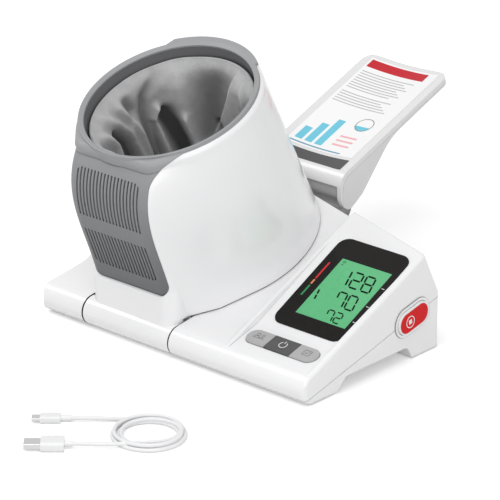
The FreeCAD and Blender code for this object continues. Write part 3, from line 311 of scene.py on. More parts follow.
def shade_of(finish, factor):
    """A finish's own tint, made lighter or darker."""
    return finish.add(
        "ShaderNodeVectorMath", {"operation": "SCALE"}, {0: finish.tint, "Scale": factor})


DRAWN_GRAIN, DRAWN_SHADE, DRAWN_GLOSS, DRAWN_DEPTH = 0.5, 0.85, 0.15, 0.01


def metal(name, colour, roughness, stretch):
    """Ground or plated metal with fine drawn lines."""
    finish = Finish(name)
    lines = finish.noise(DRAWN_GRAIN, 3, stretch)
    return finish.set(
        Base_Color=finish.mix(lines, shade(colour, DRAWN_SHADE), colour), Metallic=1.0,
        Roughness=roughness + (lines - 0.5) * DRAWN_GLOSS,
        Normal=finish.bump(lines, DRAWN_DEPTH))


def dress(finish, *names):
    """Give CAD nodes a finish."""
    for name in names:
        slots = NODES[name].data.materials
        slots.clear()
        slots.append(finish.material)


# -------------------------------- meshes

def put(name, data):
    """A new object in the scene."""
    item = bpy.data.objects.new(name, data)
    bpy.context.scene.collection.objects.link(item)
    return item


def put_mesh(name, points, faces, finish):
    mesh = bpy.data.meshes.new(name)
    mesh.from_pydata([tuple(point) for point in points], [], faces)
    mesh.materials.append(finish.material)
    return put(name, mesh)


def piece(name, points, faces, finish, body, smooth=False):
    """A mesh object that rides on a body."""
    item = put_mesh(name, points, faces, finish)
    if smooth:
        item.data.shade_smooth()
    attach(item, body)
    return item


class Marks:
    """Flat printed shapes, gathered into one mesh."""

    THICKNESS = 0.05
    ARC_STEPS = 40

    def __init__(self, place, level):
        self.place = place
        self.level = level
        self.points = []
        self.faces = []

    def polygon(self, corners):
        """A plate with the given corners (x, y), anticlockwise."""
        count = len(corners)
        low = [len(self.points) + index for index in range(count)]
        for z in (self.level, self.level + self.THICKNESS):
            self.points += [self.place.point(x, y, z) for x, y in corners]
        self.faces += [low[::-1], [index + count for index in low]]
        for one, two in zip(low, low[1:] + low[:1]):
            self.faces.append([one, two, two + count, one + count])

    def bar(self, x, y, width, height):
        self.polygon([(x, y), (x + width, y), (x + width, y + height), (x, y + height)])

    def stroke(self, start, end, width):
        """A straight stroke between two points."""
        start, end = Vector(start), Vector(end)
        run = end - start
        side = Vector((-run.y, run.x)).normalized() * width / 2
        self.polygon([start - side, end - side, end + side, start + side])

    def arc(self, centre, radius, width, start=0, end=360):
        """A ring or part of one, between two angles in degrees."""
        angles = [
            math.radians(start + (end - start) * step / self.ARC_STEPS)
            for step in range(self.ARC_STEPS + 1)]
        inner, outer = radius - width / 2, radius + width / 2
        for one, two in zip(angles, angles[1:]):
            self.polygon([
                (centre[0] + reach * math.cos(angle), centre[1] + reach * math.sin(angle))
                for reach, angle in ((inner, one), (outer, one), (outer, two), (inner, two))])

    def build(self, name, finish, body):
        return piece(name, self.points, self.faces, finish, body)


# -------------------------------- settings

def tint_property(name, description, default):
    return FloatVectorProperty(
        name=name, description=description, default=default, size=4, subtype="COLOR")


class CameraSettings(bpy.types.PropertyGroup):
    azimuth: FloatProperty(
        name="Azimuth", description="Camera's angle round the monitor from its front",
        default=math.radians(41.9), subtype="ANGLE")
    elevation: FloatProperty(
        name="Elevation", description="Camera's angle above the table",
        default=math.radians(21.75), subtype="ANGLE")
    location: FloatVectorProperty(
        name="Location", description="Where the camera stands",
        default=(1.5503, -1.8007, 0.9930), subtype="TRANSLATION", unit="LENGTH")
    lens: FloatProperty(name="Lens", description="Focal length", default=216, unit="CAMERA")


class CableSettings(bpy.types.PropertyGroup):
    radius: FloatProperty(
        name="Radius", description="Half the cord's thickness", default=1.65 * MM,
        subtype="DISTANCE", unit="LENGTH")
    length: FloatProperty(
        name="Length", description="Length of the cord between its two grips", default=0.85,
        subtype="DISTANCE", unit="LENGTH")
    turns: IntProperty(name="Whole turns", description="Whole turns in the coil", default=4)
    colour: tint_property("Colour", "Colour of the cord and grips", paint(236, 236, 237))


class ShellSettings(bpy.types.PropertyGroup):
    white: tint_property("Shell", "Colour of the glossy shells", paint(240, 240, 241))
    grille: tint_property("Grille", "Colour of the grille panel", paint(122, 123, 125))
    ring: tint_property("Ring", "Colour of the ring round the arm opening", paint(152, 153, 155))
    inner: tint_property("Inner wall", "Colour of the sleeve behind the ring", paint(112, 112, 114))


class CuffSettings(bpy.types.PropertyGroup):
    cloth: tint_property("Cloth", "Colour of the cuff's cloth", paint(196, 196, 197))
    fold: FloatProperty(
        name="Fold depth", description="How far the deepest folds stand into the arm opening",
        default=9 * MM, subtype="DISTANCE", unit="LENGTH")


class DisplaySettings(bpy.types.PropertyGroup):
    glow: tint_property("Backlight", "Colour of the lit screen", paint(88, 190, 126))
    upper: StringProperty(name="Upper reading", description="Top row of digits", default="128")
    lower: StringProperty(name="Lower reading", description="Middle row of digits", default="70")
    pulse: StringProperty(name="Pulse", description="Bottom row of digits", default="72")
    red: tint_property("Stop red", "Colour of the stop button", paint(214, 8, 14))


class TraySettings(bpy.types.PropertyGroup):
    title: tint_property("Title band", "Colour of the card's band", paint(196, 22, 38))
    tint: tint_property("Block tint", "Colour of the blocks on the card", paint(112, 200, 222))


class StudioSettings(bpy.types.PropertyGroup):
    key_power: FloatProperty(
        name="Key light", description="Power of the large lamp in front", default=16, unit="POWER")
    top_power: FloatProperty(
        name="Top light", description="Power of the large lamp above the arm opening", default=7,
        unit="POWER")
    fill_power: FloatProperty(
        name="Fill light", description="Power of the lamp beside the camera", default=10,
        unit="POWER")
    ambient: FloatProperty(
        name="Ambient", description="Strength of the even light from all round", default=0.55)


SETTINGS = {
    "monitor_camera": CameraSettings, "monitor_cable": CableSettings,
    "monitor_shell": ShellSettings, "monitor_cuff": CuffSettings,
    "monitor_display": DisplaySettings, "monitor_tray": TraySettings,
    "monitor_studio": StudioSettings,
}


# -------------------------------- camera and cord

FAR_CLIP = 20


class MONITOR_OT_camera(bpy.types.Operator):
    """Place the camera"""

    bl_idname = "monitor.camera"
    bl_label = "Camera"

    def execute(self, context):
        settings = context.scene.monitor_camera
        data = bpy.data.cameras.new("camera")
        data.lens = settings.lens
        data.clip_end = FAR_CLIP
        camera = put("camera", data)
        camera.location = settings.location
        camera.rotation_euler = (math.pi / 2 - settings.elevation, 0, settings.azimuth)
        context.scene.camera = camera
        return {"FINISHED"}


# The cord's two tails in the cable's own frame: from the small grip to the coil, and from the coil
# to the large grip.
TAIL_C = [
    (-61.2, 27.4, 3.0), (-50, 27.4, 3.0), (-36, 27.4, 2.6), (-22, 27.6, 1.7), (-9, 27.9, 1.65)]
TAIL_A = [
    (-12, -21.3, 4.4), (-24, -21.2, 3.6), (-36, -21.2, 3.4), (-48, -21.3, 3.9),
    (-58.1, -21.3, 4.0)]
COIL_STEP = 30
# Each half turn's radius and height: the turns differ a little and climb to a second layer.
COIL_RADII = [27.9, 29.6, 30.4, 26.6, 24.0, 22.2, 23.6, 27.6, 29.4, 21.8]
COIL_HEIGHTS = [1.65] * 5 + [1.9, 4.2, 4.9, 4.9, 4.6]


def eased(values, position):
    """A list's value at a fractional position, eased between its entries."""
    index = min(int(position), len(values) - 2)
    part = position - index
    part = part * part * (3 - 2 * part)
    return values[index] * (1 - part) + values[index + 1] * part


def cord_route(turns):
    """Points of the cord from the small grip, round the coil and on to the large grip."""
    sweep = 180 + 360 * turns
    coil = []
    for angle in range(COIL_STEP, sweep - COIL_STEP + 1, COIL_STEP):
        position = angle / 180
        radius = eased(COIL_RADII, position)
        turn = math.radians(90 - angle)
        coil.append((
            radius * math.cos(turn), radius * math.sin(turn), eased(COIL_HEIGHTS, position)))
    return [CABLE.point(*point) for point in TAIL_C + coil + TAIL_A]


class MONITOR_OT_cable(bpy.types.Operator):
    """Make the coiled charging cord and finish its plugs"""

    bl_idname = "monitor.cable"
    bl_label = "Charging cable"

    def execute(self, context):
        settings = context.scene.monitor_cable
        jacket = moulded("cord_jacket", settings.colour, 0.42, grain=0.3, depth=0.006, mottle=0.015)
        route = cord_route(settings.turns)
        curve = bpy.data.curves.new("charging_cord", "CURVE")
        curve.dimensions = "3D"
        curve.bevel_depth = settings.radius
        curve.bevel_resolution = 6
        curve.use_fill_caps = True
        spline = curve.splines.new("NURBS")
        spline.points.add(len(route) - 1)
        for point, place in zip(spline.points, route):
            point.co = (*place, 1)
        spline.order_u = 3
        spline.use_endpoint_u = True
        spline.resolution_u = 8
        curve.materials.append(jacket.material)
        cord = put("charging_cord", curve)
        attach(cord, "base")
        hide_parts("cable_coil", "cable_tail_c", "cable_tail_a")
        dress(moulded("grip_plastic", settings.colour, 0.35, 0.2, mottle=0.01),
              "usb_c_grip", "usb_a_grip")
        dress(jacket, "cable_coil", "cable_tail_c", "cable_tail_a")
        dress(metal("plug_shell_metal", grey(205), 0.22, (1, 1, 8)),
              "usb_c_shell", "usb_a_shell", "usb_c_socket")
        dress(moulded("tongue_plastic", grey(228), 0.4), "usb_a_tongue")
        return {"FINISHED"}


# -------------------------------- housing

# Painted shade in narrow gaps of the housing: its grey, and how far past the knuckle gap's faces it
# reaches.
SEAM_SHADE_GREY = 38
SEAM_OVERLAP = 0.12
KNUCKLE_HALF, KNUCKLE_GAP = 48.5, 1.2
KNUCKLE_BACK, KNUCKLE_TOP, NOTCH_BACK = -146, 27, -118


def knuckle_seam(finish, back):
    """Where the end faces of the knuckle or its notch lie, inside the gap between the two, to be
    painted dark as painted shade.
    """
    across = abs(finish.along(DRUM, DRUM.across))
    forward = finish.along(TABLE, TABLE.up) < back
    low, high = KNUCKLE_HALF - SEAM_OVERLAP, KNUCKLE_HALF + KNUCKLE_GAP + SEAM_OVERLAP
    return across.between(low, high) * forward


STOP_REACH, STOP_FACE, BEZEL_EDGE = 9.0, 8.7, 13.0
# The painted shade line round the bezel: its inner and outer reach, and how dark it is as a share.
BEZEL_LINE = (BEZEL_EDGE - 0.1, BEZEL_EDGE + 0.32)
BEZEL_LINE_STRENGTH = 0.6


def from_stop_line(finish):
    """Millimetres from the line that the stop button's pill shape is drawn about."""
    beyond = finish.add(
        "ShaderNodeMath", {"operation": "MAXIMUM"},
        [abs(finish.along(STOP, STOP.across)) - STOP_REACH, 0.0])
    return (beyond ** 2 + finish.along(STOP, STOP.up) ** 2) ** 0.5


def bezel_shade_line(finish):
    """A painted shade line round the stop button's bezel, on the right-hand wall."""
    line = from_stop_line(finish).between(*BEZEL_LINE)
    return line * (finish.along(STOP, STOP.out) > -1)


# The drum's wall behind the grille, painted dark as the shade seen through its slots, in the drum's
# frame: half width, levels and how far forward.
BEHIND_HALF, BEHIND_LEVELS, BEHIND_FRONT = 40, (35, 137), -60
# Painted light and shade on the grille panel, darker at the foot and lighter at the top: height,
# how it eases, and both ends.
GRILLE_HEIGHT, GRILLE_EASE, GRILLE_FOOT, GRILLE_TOP = 150, 1.4, 0.55, 1.6


class MONITOR_OT_housing(bpy.types.Operator):
    """Finish the base covers, the drum and the parts inside them"""

    bl_idname = "monitor.housing"
    bl_label = "Housing"

    def execute(self, context):
        settings = context.scene.monitor_shell
        shell = glossy_shell("white_shell", settings.white)
        # Painted shade on the shells: in the knuckle's gap, and as a hair line round the stop
        # button's bezel.
        seam_shade = knuckle_seam(shell, NOTCH_BACK) + bezel_shade_line(shell) * BEZEL_LINE_STRENGTH
        shell.set(Base_Color=shell.mix(seam_shade, shell.tint, grey(SEAM_SHADE_GREY)))
        dress(shell, "base_top_cover", "base_bottom_cover", "stop_button_bezel")
        drum = glossy_shell("drum_white", settings.white)
        # Painted shade: the wall behind the grille is painted dark grey as the shade seen through
        # the slots.
        shade_behind_grille = drum.along(DRUM, DRUM.across).between(-BEHIND_HALF, BEHIND_HALF)
        shade_behind_grille = shade_behind_grille * drum.along(DRUM, DRUM.out).between(*BEHIND_LEVELS)
        shade_behind_grille = shade_behind_grille * (drum.along(DRUM, DRUM.up) < BEHIND_FRONT)
        # Painted shade in the knuckle's gap, low on the drum.
        low = drum.along(TABLE, TABLE.out) < KNUCKLE_TOP
        knuckle_gap_shade = knuckle_seam(drum, KNUCKLE_BACK) * low
        drum.set(Base_Color=drum.mix(shade_behind_grille + knuckle_gap_shade, drum.tint, grey(SEAM_SHADE_GREY)))
        dress(drum, "drum_shell")
        # Painted shade in the slots, and painted light and shade from a dark foot to a light top.
        grille = moulded(
            "grille_plastic", settings.grille, 0.5, grain=0.45, depth=0.03, edge=0.4, dust_and_shade=0.68)
        height = (grille.along(DRUM, DRUM.out) / GRILLE_HEIGHT) ** GRILLE_EASE
        grille.set(Base_Color=grille.mix(
            height, shade_of(grille, GRILLE_FOOT), shade_of(grille, GRILLE_TOP)))
        dress(grille, "grille_panel")
        dress(moulded("ring_plastic", settings.ring, 0.42, grain=0.45, depth=0.02), "ring_frame")
        dress(moulded("inner_wall", settings.inner, 0.55, depth=0.03), "inner_sleeve")
        # The drum floor is painted dark grey as painted shade deep inside the arm opening.
        dress(moulded("floor_plastic", grey(72), 0.55, depth=0.03), "drum_floor")
        dress(moulded("rubber", grey(58), 0.75, grain=0.4, depth=0.05),
              "rubber_feet", "air_bladder", "key_mat")
        dress(moulded("board_lacquer", paint(38, 96, 62), 0.35, 0.3),
              "main_board", "key_board", "pressure_board")
        dress(moulded("battery_sleeve", paint(60, 104, 168), 0.4, 0.2), "battery_pack")
        dress(moulded("switch_body", grey(40), 0.5), "stop_switch")
        dress(moulded("natural_nylon", paint(226, 222, 208), 0.5), "hinge_washers", "air_manifold")
        dress(metal("drawn_can", grey(190), 0.34, (1, 1, 12)), "air_pump", "release_valve")
        dress(metal("ground_steel", grey(180), 0.3, (12, 1, 1)),
              "hinge_pin", "tray_pin", "base_screws", "drum_screws")
        return {"FINISHED"}


# -------------------------------- cuff cloth

LINER_CENTRE = -6.0
LINER_OUTER, LINER_MOUTH = 68.4, 70.6
LINER_TOP, LINER_FOOT = 143.0, 10.0
LINER_PADDING = 8.5
# Points of the cloth round and down, and its millimetres per degree.
AROUND, DOWN = 420, 120
DEGREE = 1.1

# Folds of the cloth.  Each has a half width in millimetres, a height, and the path it follows as
# angles round the arm opening and levels: positive stands into the opening, negative sinks back.
FOLDS = [
    (13, 0.55, [(132, 136), (131, 112), (130, 60)]),
    (4.6, -0.75, [(144, 138), (151, 133), (161, 123), (165, 110), (167, 90), (167, 40)]),
    (3.6, 0.95, [(153, 109), (158, 98), (157, 77), (154, 30)]),
    (2.4, -0.6, [(160, 97), (161, 70), (160, 40)]),
    (7.5, -1.75, [(149, 98), (145, 83), (142, 64), (140, 30)]),
    (5, 0.8, [(133, 92), (131, 70), (128, 30)]),
    (14, -0.5, [(95, 134), (105, 108), (117, 70)]),
    (3, -1.2, [(108, 77), (106, 40)]),
    (4, 0.75, [(185, 131), (178, 111), (173, 94), (171, 70)]),
    (5, -0.7, [(176, 128), (175, 118)]),
    (5.5, -1.7, [(200, 112), (195, 103), (189, 92), (186, 60)]),
    (4.5, 0.65, [(206, 140), (199, 127), (185, 105), (180, 70)]),
    (5, 0.7, [(224, 132), (212, 112), (206, 60)]),
    (7, -0.6, [(238, 134), (232, 50)]),
    (8, 0.7, [(252, 136), (250, 40)]),
    (8, -0.6, [(270, 132), (272, 40)]),
    (9, 0.7, [(290, 136), (292, 40)]),
    (7, -0.6, [(312, 132), (315, 40)]),
    (9, 0.7, [(334, 136), (330, 40)]),
    (7, -0.5, [(356, 132), (352, 40)]),
    (8, 0.6, [(14, 134), (10, 40)]),
    (7, -0.5, [(38, 130), (34, 40)]),
    (6, 0.4, [(56, 130), (66, 40)]),
]
# A fold counts up to this many times its half width.
FOLD_REACH = 2.5
# The overlap at the right: its edge from one angle and level to the other, how far it stands in as
# a share of the fold depth, the width of its step and how fast it sinks back behind it.
OVERLAP_EDGE = ((74, 136), (109, 77))
OVERLAP_HEIGHT, OVERLAP_STEP, OVERLAP_WIDTH = 0.5, 1.8, 24
# Painted light and shade beside that edge: a painted light band on the overlap and painted shade
# before it.
LIGHT_REACH = 22
DARK_MIDDLE, DARK_REACH, DARK_STRENGTH = 19, 22, 0.4
# How far form and painted light and shade begin before the edge, end after it, and how softly they
# end.
OVERLAP_RUN, TONE_RUN = (16, 25, 25), (14, 40, 25)


def from_edge(angle, level, start, end):
    """A place's offset from an edge's start, and the edge's own run, in mm on the cloth."""
    x = ((angle - start[0] + 180) % 360 - 180) * DEGREE
    return x, level - start[1], (end[0] - start[0]) * DEGREE, end[1] - start[1]


def path_distance(angle, level, path):
    """How far an angle and level are from a path, in millimetres on the cloth."""
    nearest = 1e9
    for start, end in zip(path, path[1:]):
        x, y, run_x, run_y = from_edge(angle, level, start, end)
        part = max(0.0, min(1.0, (x * run_x + y * run_y) / (run_x * run_x + run_y * run_y)))
        nearest = min(nearest, math.hypot(x - part * run_x, y - part * run_y))
    return nearest


def eased_step(value):
    value = max(0.0, min(1.0, value))
    return value * value * (3 - 2 * value)


def overlap_place(angle, level, before, after, ease):
    """How far a place is past the overlap's edge, in mm, and how much of it there is here."""
    x, y, run_x, run_y = from_edge(angle, level, *OVERLAP_EDGE)
    length = math.hypot(run_x, run_y)
    past = (x * run_x + y * run_y) / length
    share = eased_step((past + before) / before) * eased_step((length + after - past) / ease)
    return (x * run_y - y * run_x) / length, share


def fold_height(angle, level):
    """How far the cloth stands in at an angle and level, as a share of the fold depth."""
    total = 0.0
    for width, height, path in FOLDS:
        away = path_distance(angle, level, path) / width
        if away < FOLD_REACH:
            total += height * math.exp(-away * away)
    across, share = overlap_place(angle, level, *OVERLAP_RUN)
    step = eased_step(across / OVERLAP_STEP + 0.5)
    sink = math.exp(-(max(across, 0) / OVERLAP_WIDTH) ** 2)
    return total + OVERLAP_HEIGHT * share * step * sink


def flap_light_and_shade(angle, level):
    """How much painted light (1) or painted shade (-1) the cloth gets beside the overlap's edge."""
    across, share = overlap_place(angle, level, *TONE_RUN)
    if across > 0:
        return share * math.exp(-(across / LIGHT_REACH) ** 4)
    return -DARK_STRENGTH * share * math.exp(-((across + DARK_MIDDLE) / DARK_REACH) ** 4)


# The padding rolls in from LINER_LIP thick at the top.  Then: depths over which the mouth narrows
# and the folds settle, how much of a fold there is at the rim, and how far one may sink.
LINER_LIP = 0.8
ROLL_DEPTH, ROLL_POWER = 7.5, 1.2
MOUTH_DEPTH, SETTLE_DEPTH = 10, 22
RIM_SHARE = 0.12
SINK_LIMIT = 3
# Slow waves and fine crumples of the cloth: how many round and per millimetre, and how high.
GATHER_ROUND, GATHER_DOWN, GATHER_SHARE = 2.6, 0.012, 0.12
CRUMPLE_ROUND, CRUMPLE_DOWN, CRUMPLE_HEIGHT = 9, 0.09, 0.5
# The painted fold shade: at rest, added where the cloth has settled, and per fold height and per
# overlap light and shade.
TONE_REST, TONE_SETTLED, TONE_PER_FOLD, TONE_PER_FLAP = 0.2, 0.2, 0.5, 0.3
# Painted shade on the tube's hidden outer side.
BACK_TONE = 0.5
# The tube's outer side comes back up to these distances under its top.
BACK_SHOULDER, BACK_EDGE = 12, 1.6


def wander(turn, level, around, down):
    """Smooth noise over the cloth, -1 to 1."""
    return noise.noise(Vector((math.cos(turn) * around, math.sin(turn) * around, level * down)))


def liner_points(fold_depth):
    """The cloth tube's points, column by column, and the painted shade of each, darker the deeper
    it lies in a fold.
    """
    columns, fold_shades = [], []
    for column in range(AROUND):
        angle = 360 * column / AROUND
        turn = math.radians(angle)
        ring, fold_shade = [], []
        for row in range(DOWN + 1):
            level = LINER_TOP - (LINER_TOP - LINER_FOOT) * row / DOWN
            below = LINER_TOP - level
            roll = 1 - math.exp(-(below / ROLL_DEPTH) ** ROLL_POWER)
            mouth = LINER_OUTER + (LINER_MOUTH - LINER_OUTER) * eased_step(1 - below / MOUTH_DEPTH)
            gather = wander(turn, level, GATHER_ROUND, GATHER_DOWN)
            crumple = wander(turn, level, CRUMPLE_ROUND, CRUMPLE_DOWN)
            settle = eased_step(below / SETTLE_DEPTH)
            height = fold_height(angle, level) + GATHER_SHARE * gather
            share = RIM_SHARE + (1 - RIM_SHARE) * settle
            rise = height * fold_depth / MM * share + CRUMPLE_HEIGHT * crumple * settle
            deepest = mouth - LINER_LIP
            radius = deepest - (LINER_PADDING - LINER_LIP) * roll - rise
            limit = deepest - SINK_LIMIT
            if radius > limit:
                radius = deepest - SINK_LIMIT * math.exp((limit - radius) / SINK_LIMIT)
            ring.append((radius, level + LINER_LIP * gather * (1 - roll)))
            # Painted shade in the folds, with painted light and shade beside the overlap.
            tone = TONE_SETTLED - TONE_PER_FOLD * height - TONE_PER_FLAP * flap_light_and_shade(
                angle, level)
            fold_shade.append(max(0.0, min(1.0, TONE_REST + tone * settle)))
        back = [
            (LINER_OUTER, LINER_FOOT), (LINER_OUTER, LINER_TOP - BACK_SHOULDER),
            (LINER_MOUTH, LINER_TOP - BACK_EDGE)]
        ring += back
        fold_shades.append(fold_shade + [BACK_TONE] * len(back))
        columns.append([
            DRUM.point(radius * math.cos(turn), LINER_CENTRE + radius * math.sin(turn), level)
            for radius, level in ring])
    return columns, fold_shades


# The cloth's look: grain of its brushed patches and nap, scale of its weave, and how dark and light
# the patches get and how dark the painted shade in the folds.
BRUSHED_GRAIN, NAP_GRAIN, WEAVE_SCALE = 11, 0.7, 420
CLOTH_DARK, CLOTH_LIGHT, CLOTH_FOLD_SHADE = 0.62, 1.45, 0.12
CLOTH_ROUGHNESS, CLOTH_BUMP = 0.86, 0.12


class MONITOR_OT_cuff(bpy.types.Operator):
    """Make the folded cloth that lines the arm opening"""

    bl_idname = "monitor.cuff"
    bl_label = "Cuff cloth"

    def execute(self, context):
        settings = context.scene.monitor_cuff
        cloth = Finish("cuff_cloth")
        brushed = cloth.noise(BRUSHED_GRAIN, 5)
        nap = cloth.noise(NAP_GRAIN, 2, (1, 1, 0.5))
        warp, weft = (
            cloth.add("ShaderNodeTexWave", {"wave_type": "BANDS", "bands_direction": way}, {
                "Vector": cloth.here(), "Scale": WEAVE_SCALE, "Distortion": 2.0})
            for way in "XZ")
        weave = warp * 0.5 + weft * 0.5
        tone = brushed * 0.6 + nap * 0.4
        # The fold attribute holds painted shade, darkest in the deepest folds.
        fold = cloth.add("ShaderNodeAttribute", {"attribute_name": "fold"}, output="Fac")
        patches = cloth.mix(
            tone, shade(settings.cloth, CLOTH_DARK), shade(settings.cloth, CLOTH_LIGHT))
        cloth.set(
            Base_Color=cloth.mix(fold, patches, shade(settings.cloth, CLOTH_FOLD_SHADE)),
            Roughness=CLOTH_ROUGHNESS + (nap - 0.5) * 0.1,
            Normal=cloth.bump(weave * 0.5 + nap * 0.5, CLOTH_BUMP, 0.6),
            Sheen_Weight=0.35, Sheen_Roughness=0.5)
        columns, fold_shades = liner_points(settings.fold)
        rows = len(columns[0])
        points = [point for column in columns for point in column]
        faces = []
        for column in range(AROUND):
            following = (column + 1) % AROUND
            for row in range(rows):
                below = (row + 1) % rows
                faces.append([
                    column * rows + row, column * rows + below,
                    following * rows + below, following * rows + row])
        liner = piece("cuff_cloth", points, faces, cloth, "drum", smooth=True)
        fold_shade = liner.data.attributes.new("fold", "FLOAT", "POINT")
        fold_shade.data.foreach_set("value", [depth for column in fold_shades for depth in column])
        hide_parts("cuff_liner")
        return {"FINISHED"}


# -------------------------------- display

SEGMENTS = {
    "0": "abcdef", "1": "bc", "2": "abged", "3": "abgcd", "4": "fgbc", "5": "afgcd",
    "6": "afgcde", "7": "abcf", "8": "abcdefg", "9": "abcfgd"}
LCD_LEFT, LCD_TOP, LCD_WIDTH, LCD_HEIGHT = 82.5, 28.75, 52.5, 66.0
LCD_LEVEL, GHOST_LEVEL = 0.31, 0.27
DIGIT_SLANT, SEGMENT_GAP = 0.25, 0.18
GLOW_STRENGTH, GLOW_EDGE, GLOW_CLOUD = 0.61, 20, 0.35
# Rows of digits on the screen: the last one's right edge and top, a digit's width, height and
# stroke, and the pitch.
UPPER_ROW = (42.6, 9.4, 8.9, 16.2, 1.8, 12.4)
LOWER_ROW = (41.8, 32.6, 8.3, 14.8, 1.7, 11.2)
PULSE_ROW = (41.2, 52.8, 6.4, 10.8, 1.35, 8.6)
# Two slanted dashes at the screen's left: their sides, tops, height and where the slant starts.
DASH_SIDES, DASH_TOPS, DASH_HEIGHT, DASH_START = (2.6, 4.4), (37.2, 43.0), 4.6, 37
# A head over shoulders: the head's centre, radius and line, the shoulders' ends and line.
HEAD_CENTRE, HEAD_RADIUS, HEAD_LINE = (4.4, 3.4), 1.0, 0.4
SHOULDERS, SHOULDER_LINE = ((3.2, 6.4), (5.6, 6.4)), 0.5
# The pressure scale on the lens: its two sides, and its blocks' tops, feet and colours.
SCALE_SIDES = (-8.6, -6.9)
SCALE_BLOCKS = (
    (8.2, 28.0, paint(214, 52, 58)), (29.2, 34.4, paint(232, 148, 92)),
    (36.0, 48.0, paint(58, 150, 92)))
# Small white ticks on the lens, right of the screen: level, distances down, gap and size.
TICK_LEVEL, TICKS, TICK_GAP, TICK_WIDTH, TICK_HEIGHT = 0.52, (17.5, 39.0, 57.5), 1.6, 3.0, 0.7


def on_screen(x, y):
    """The place x right of and y below the screen's top left corner."""
    return LCD_LEFT + x, LCD_TOP - y


def digit(marks, segments, right, top, width, height, stroke):
    """A seven-segment digit, hung from its top right corner on the screen."""
    half, gap, middle = stroke / 2, stroke * SEGMENT_GAP, height / 2
    level_ones = {"a": 0, "g": middle, "d": height}
    upright_ones = {"f": (0, 0), "b": (width, 0), "e": (0, middle), "c": (width, middle)}
    for letter in segments:
        if letter in level_ones:
            y, end = level_ones[letter], width - gap
            corners = [
                (gap, y), (half + gap, y + half), (end - half, y + half),
                (end, y), (end - half, y - half), (half + gap, y - half)]
        else:
            x, y = upright_ones[letter]
            start, end = y + gap, y + middle - gap
            corners = [
                (x, start), (x - half, start + half), (x - half, end - half),
                (x, end), (x + half, end - half), (x + half, start + half)]
        marks.polygon([
            on_screen(right - width + x + DIGIT_SLANT * y, top + y) for x, y in corners])


def reading(marks, text, right, top, width, height, stroke, pitch):
    """A row of digits ending at the right."""
    for step, character in enumerate(reversed(text)):
        digit(marks, SEGMENTS[character], right - step * pitch, top, width, height, stroke)


class MONITOR_OT_display(bpy.types.Operator):
    """Finish the display and light its digits"""

    bl_idname = "monitor.display"
    bl_label = "Display"

    def execute(self, context):
        settings = context.scene.monitor_display
        lens = Finish("smoked_lens")
        haze = lens.noise(30, 3)
        x = lens.along(SCREEN, SCREEN.across) - LCD_LEFT
        y = LCD_TOP - lens.along(SCREEN, SCREEN.up)
        strip = x.between(*SCALE_SIDES)
        colour = lens.mix(haze, paint(22, 20, 19), paint(30, 28, 27))
        for top, foot, tint in SCALE_BLOCKS:
            colour = lens.mix(strip * y.between(top, foot), colour, tint)
        lens.set(Base_Color=colour, Roughness=0.16 + (haze - 0.5) * 0.08, Coat_Weight=0.05,
                 Coat_Roughness=0.04, Specular_IOR_Level=0.1)
        dress(lens, "display_lens")

        glass = Finish("lit_screen")
        cloud = glass.noise(22, 3)
        x = (glass.along(SCREEN, SCREEN.across) - LCD_LEFT) / LCD_WIDTH
        y = (LCD_TOP - glass.along(SCREEN, SCREEN.up)) / LCD_HEIGHT
        edge = (abs(x - 0.5) ** 6 + abs(y - 0.5) ** 6) * GLOW_EDGE
        glow = glass.mix(cloud * GLOW_CLOUD + edge, settings.glow, shade(settings.glow, 0.78))
        glass.set(
            Base_Color=shade(settings.glow, 0.35), Emission_Color=glow,
            Emission_Strength=GLOW_STRENGTH, Roughness=0.2 + (cloud - 0.5) * 0.05,
            Coat_Weight=0.3, Coat_Roughness=0.05)
        dress(glass, "lcd_panel")

        lit = Marks(SCREEN, LCD_LEVEL)
        unlit = Marks(SCREEN, GHOST_LEVEL)
        for text, row in (
                (settings.upper, UPPER_ROW), (settings.lower, LOWER_ROW),
                (settings.pulse, PULSE_ROW)):
            reading(unlit, "888", *row)
            reading(lit, text, *row)
        left, right = DASH_SIDES
        for top in DASH_TOPS:
            foot = top + DASH_HEIGHT
            lit.polygon([
                on_screen(side + DIGIT_SLANT * (down - DASH_START), down)
                for side, down in ((left, top), (left, foot), (right, foot), (right, top))])
        lit.arc(on_screen(*HEAD_CENTRE), HEAD_RADIUS, HEAD_LINE)
        lit.stroke(*(on_screen(*end) for end in SHOULDERS), SHOULDER_LINE)
        dark = moulded("segment_black", paint(16, 34, 22), 0.6).set(Specular_IOR_Level=0.05)
        lit.build("lcd_digits", dark, "base")
        ghost = moulded("segment_unlit", shade(settings.glow, 0.33), 0.4)
        ghost.set(Emission_Color=shade(settings.glow, 0.94), Emission_Strength=GLOW_STRENGTH)
        unlit.build("lcd_ghost_digits", ghost, "base")

        ticks = Marks(SCREEN, TICK_LEVEL)
        for down in TICKS:
            ticks.bar(*on_screen(LCD_WIDTH + TICK_GAP, down), TICK_WIDTH, TICK_HEIGHT)
        ticks.build("lens_ticks", moulded("mark_white", grey(214), 0.5), "base")
        return {"FINISHED"}


# -------------------------------- keys and stop button

KEY_TOP = 1.22
SIDE_KEY_X = 25.1
# The power symbol: its open ring's centre, radius, start and end, its stem's ends, and the line.
POWER_Y, POWER_RADIUS, POWER_OPEN, POWER_STEM, POWER_LINE = 0.8, 3.5, (125, 415), (2.6, 5.6), 0.75
# Two people: each head's place and radius, the line, the levels of heads, shoulders and feet, and
# how many head radii the shoulders and feet reach.
PEOPLE, PEOPLE_LINE = ((-2.4, 1.5), (2.6, 1.2)), 0.45
HEAD_LEVEL, SHOULDER_LEVEL, FOOT_LEVEL = 3.0, -1.6, -1.2
SHOULDER_REACH, FOOT_REACH = 1.9, 1.95
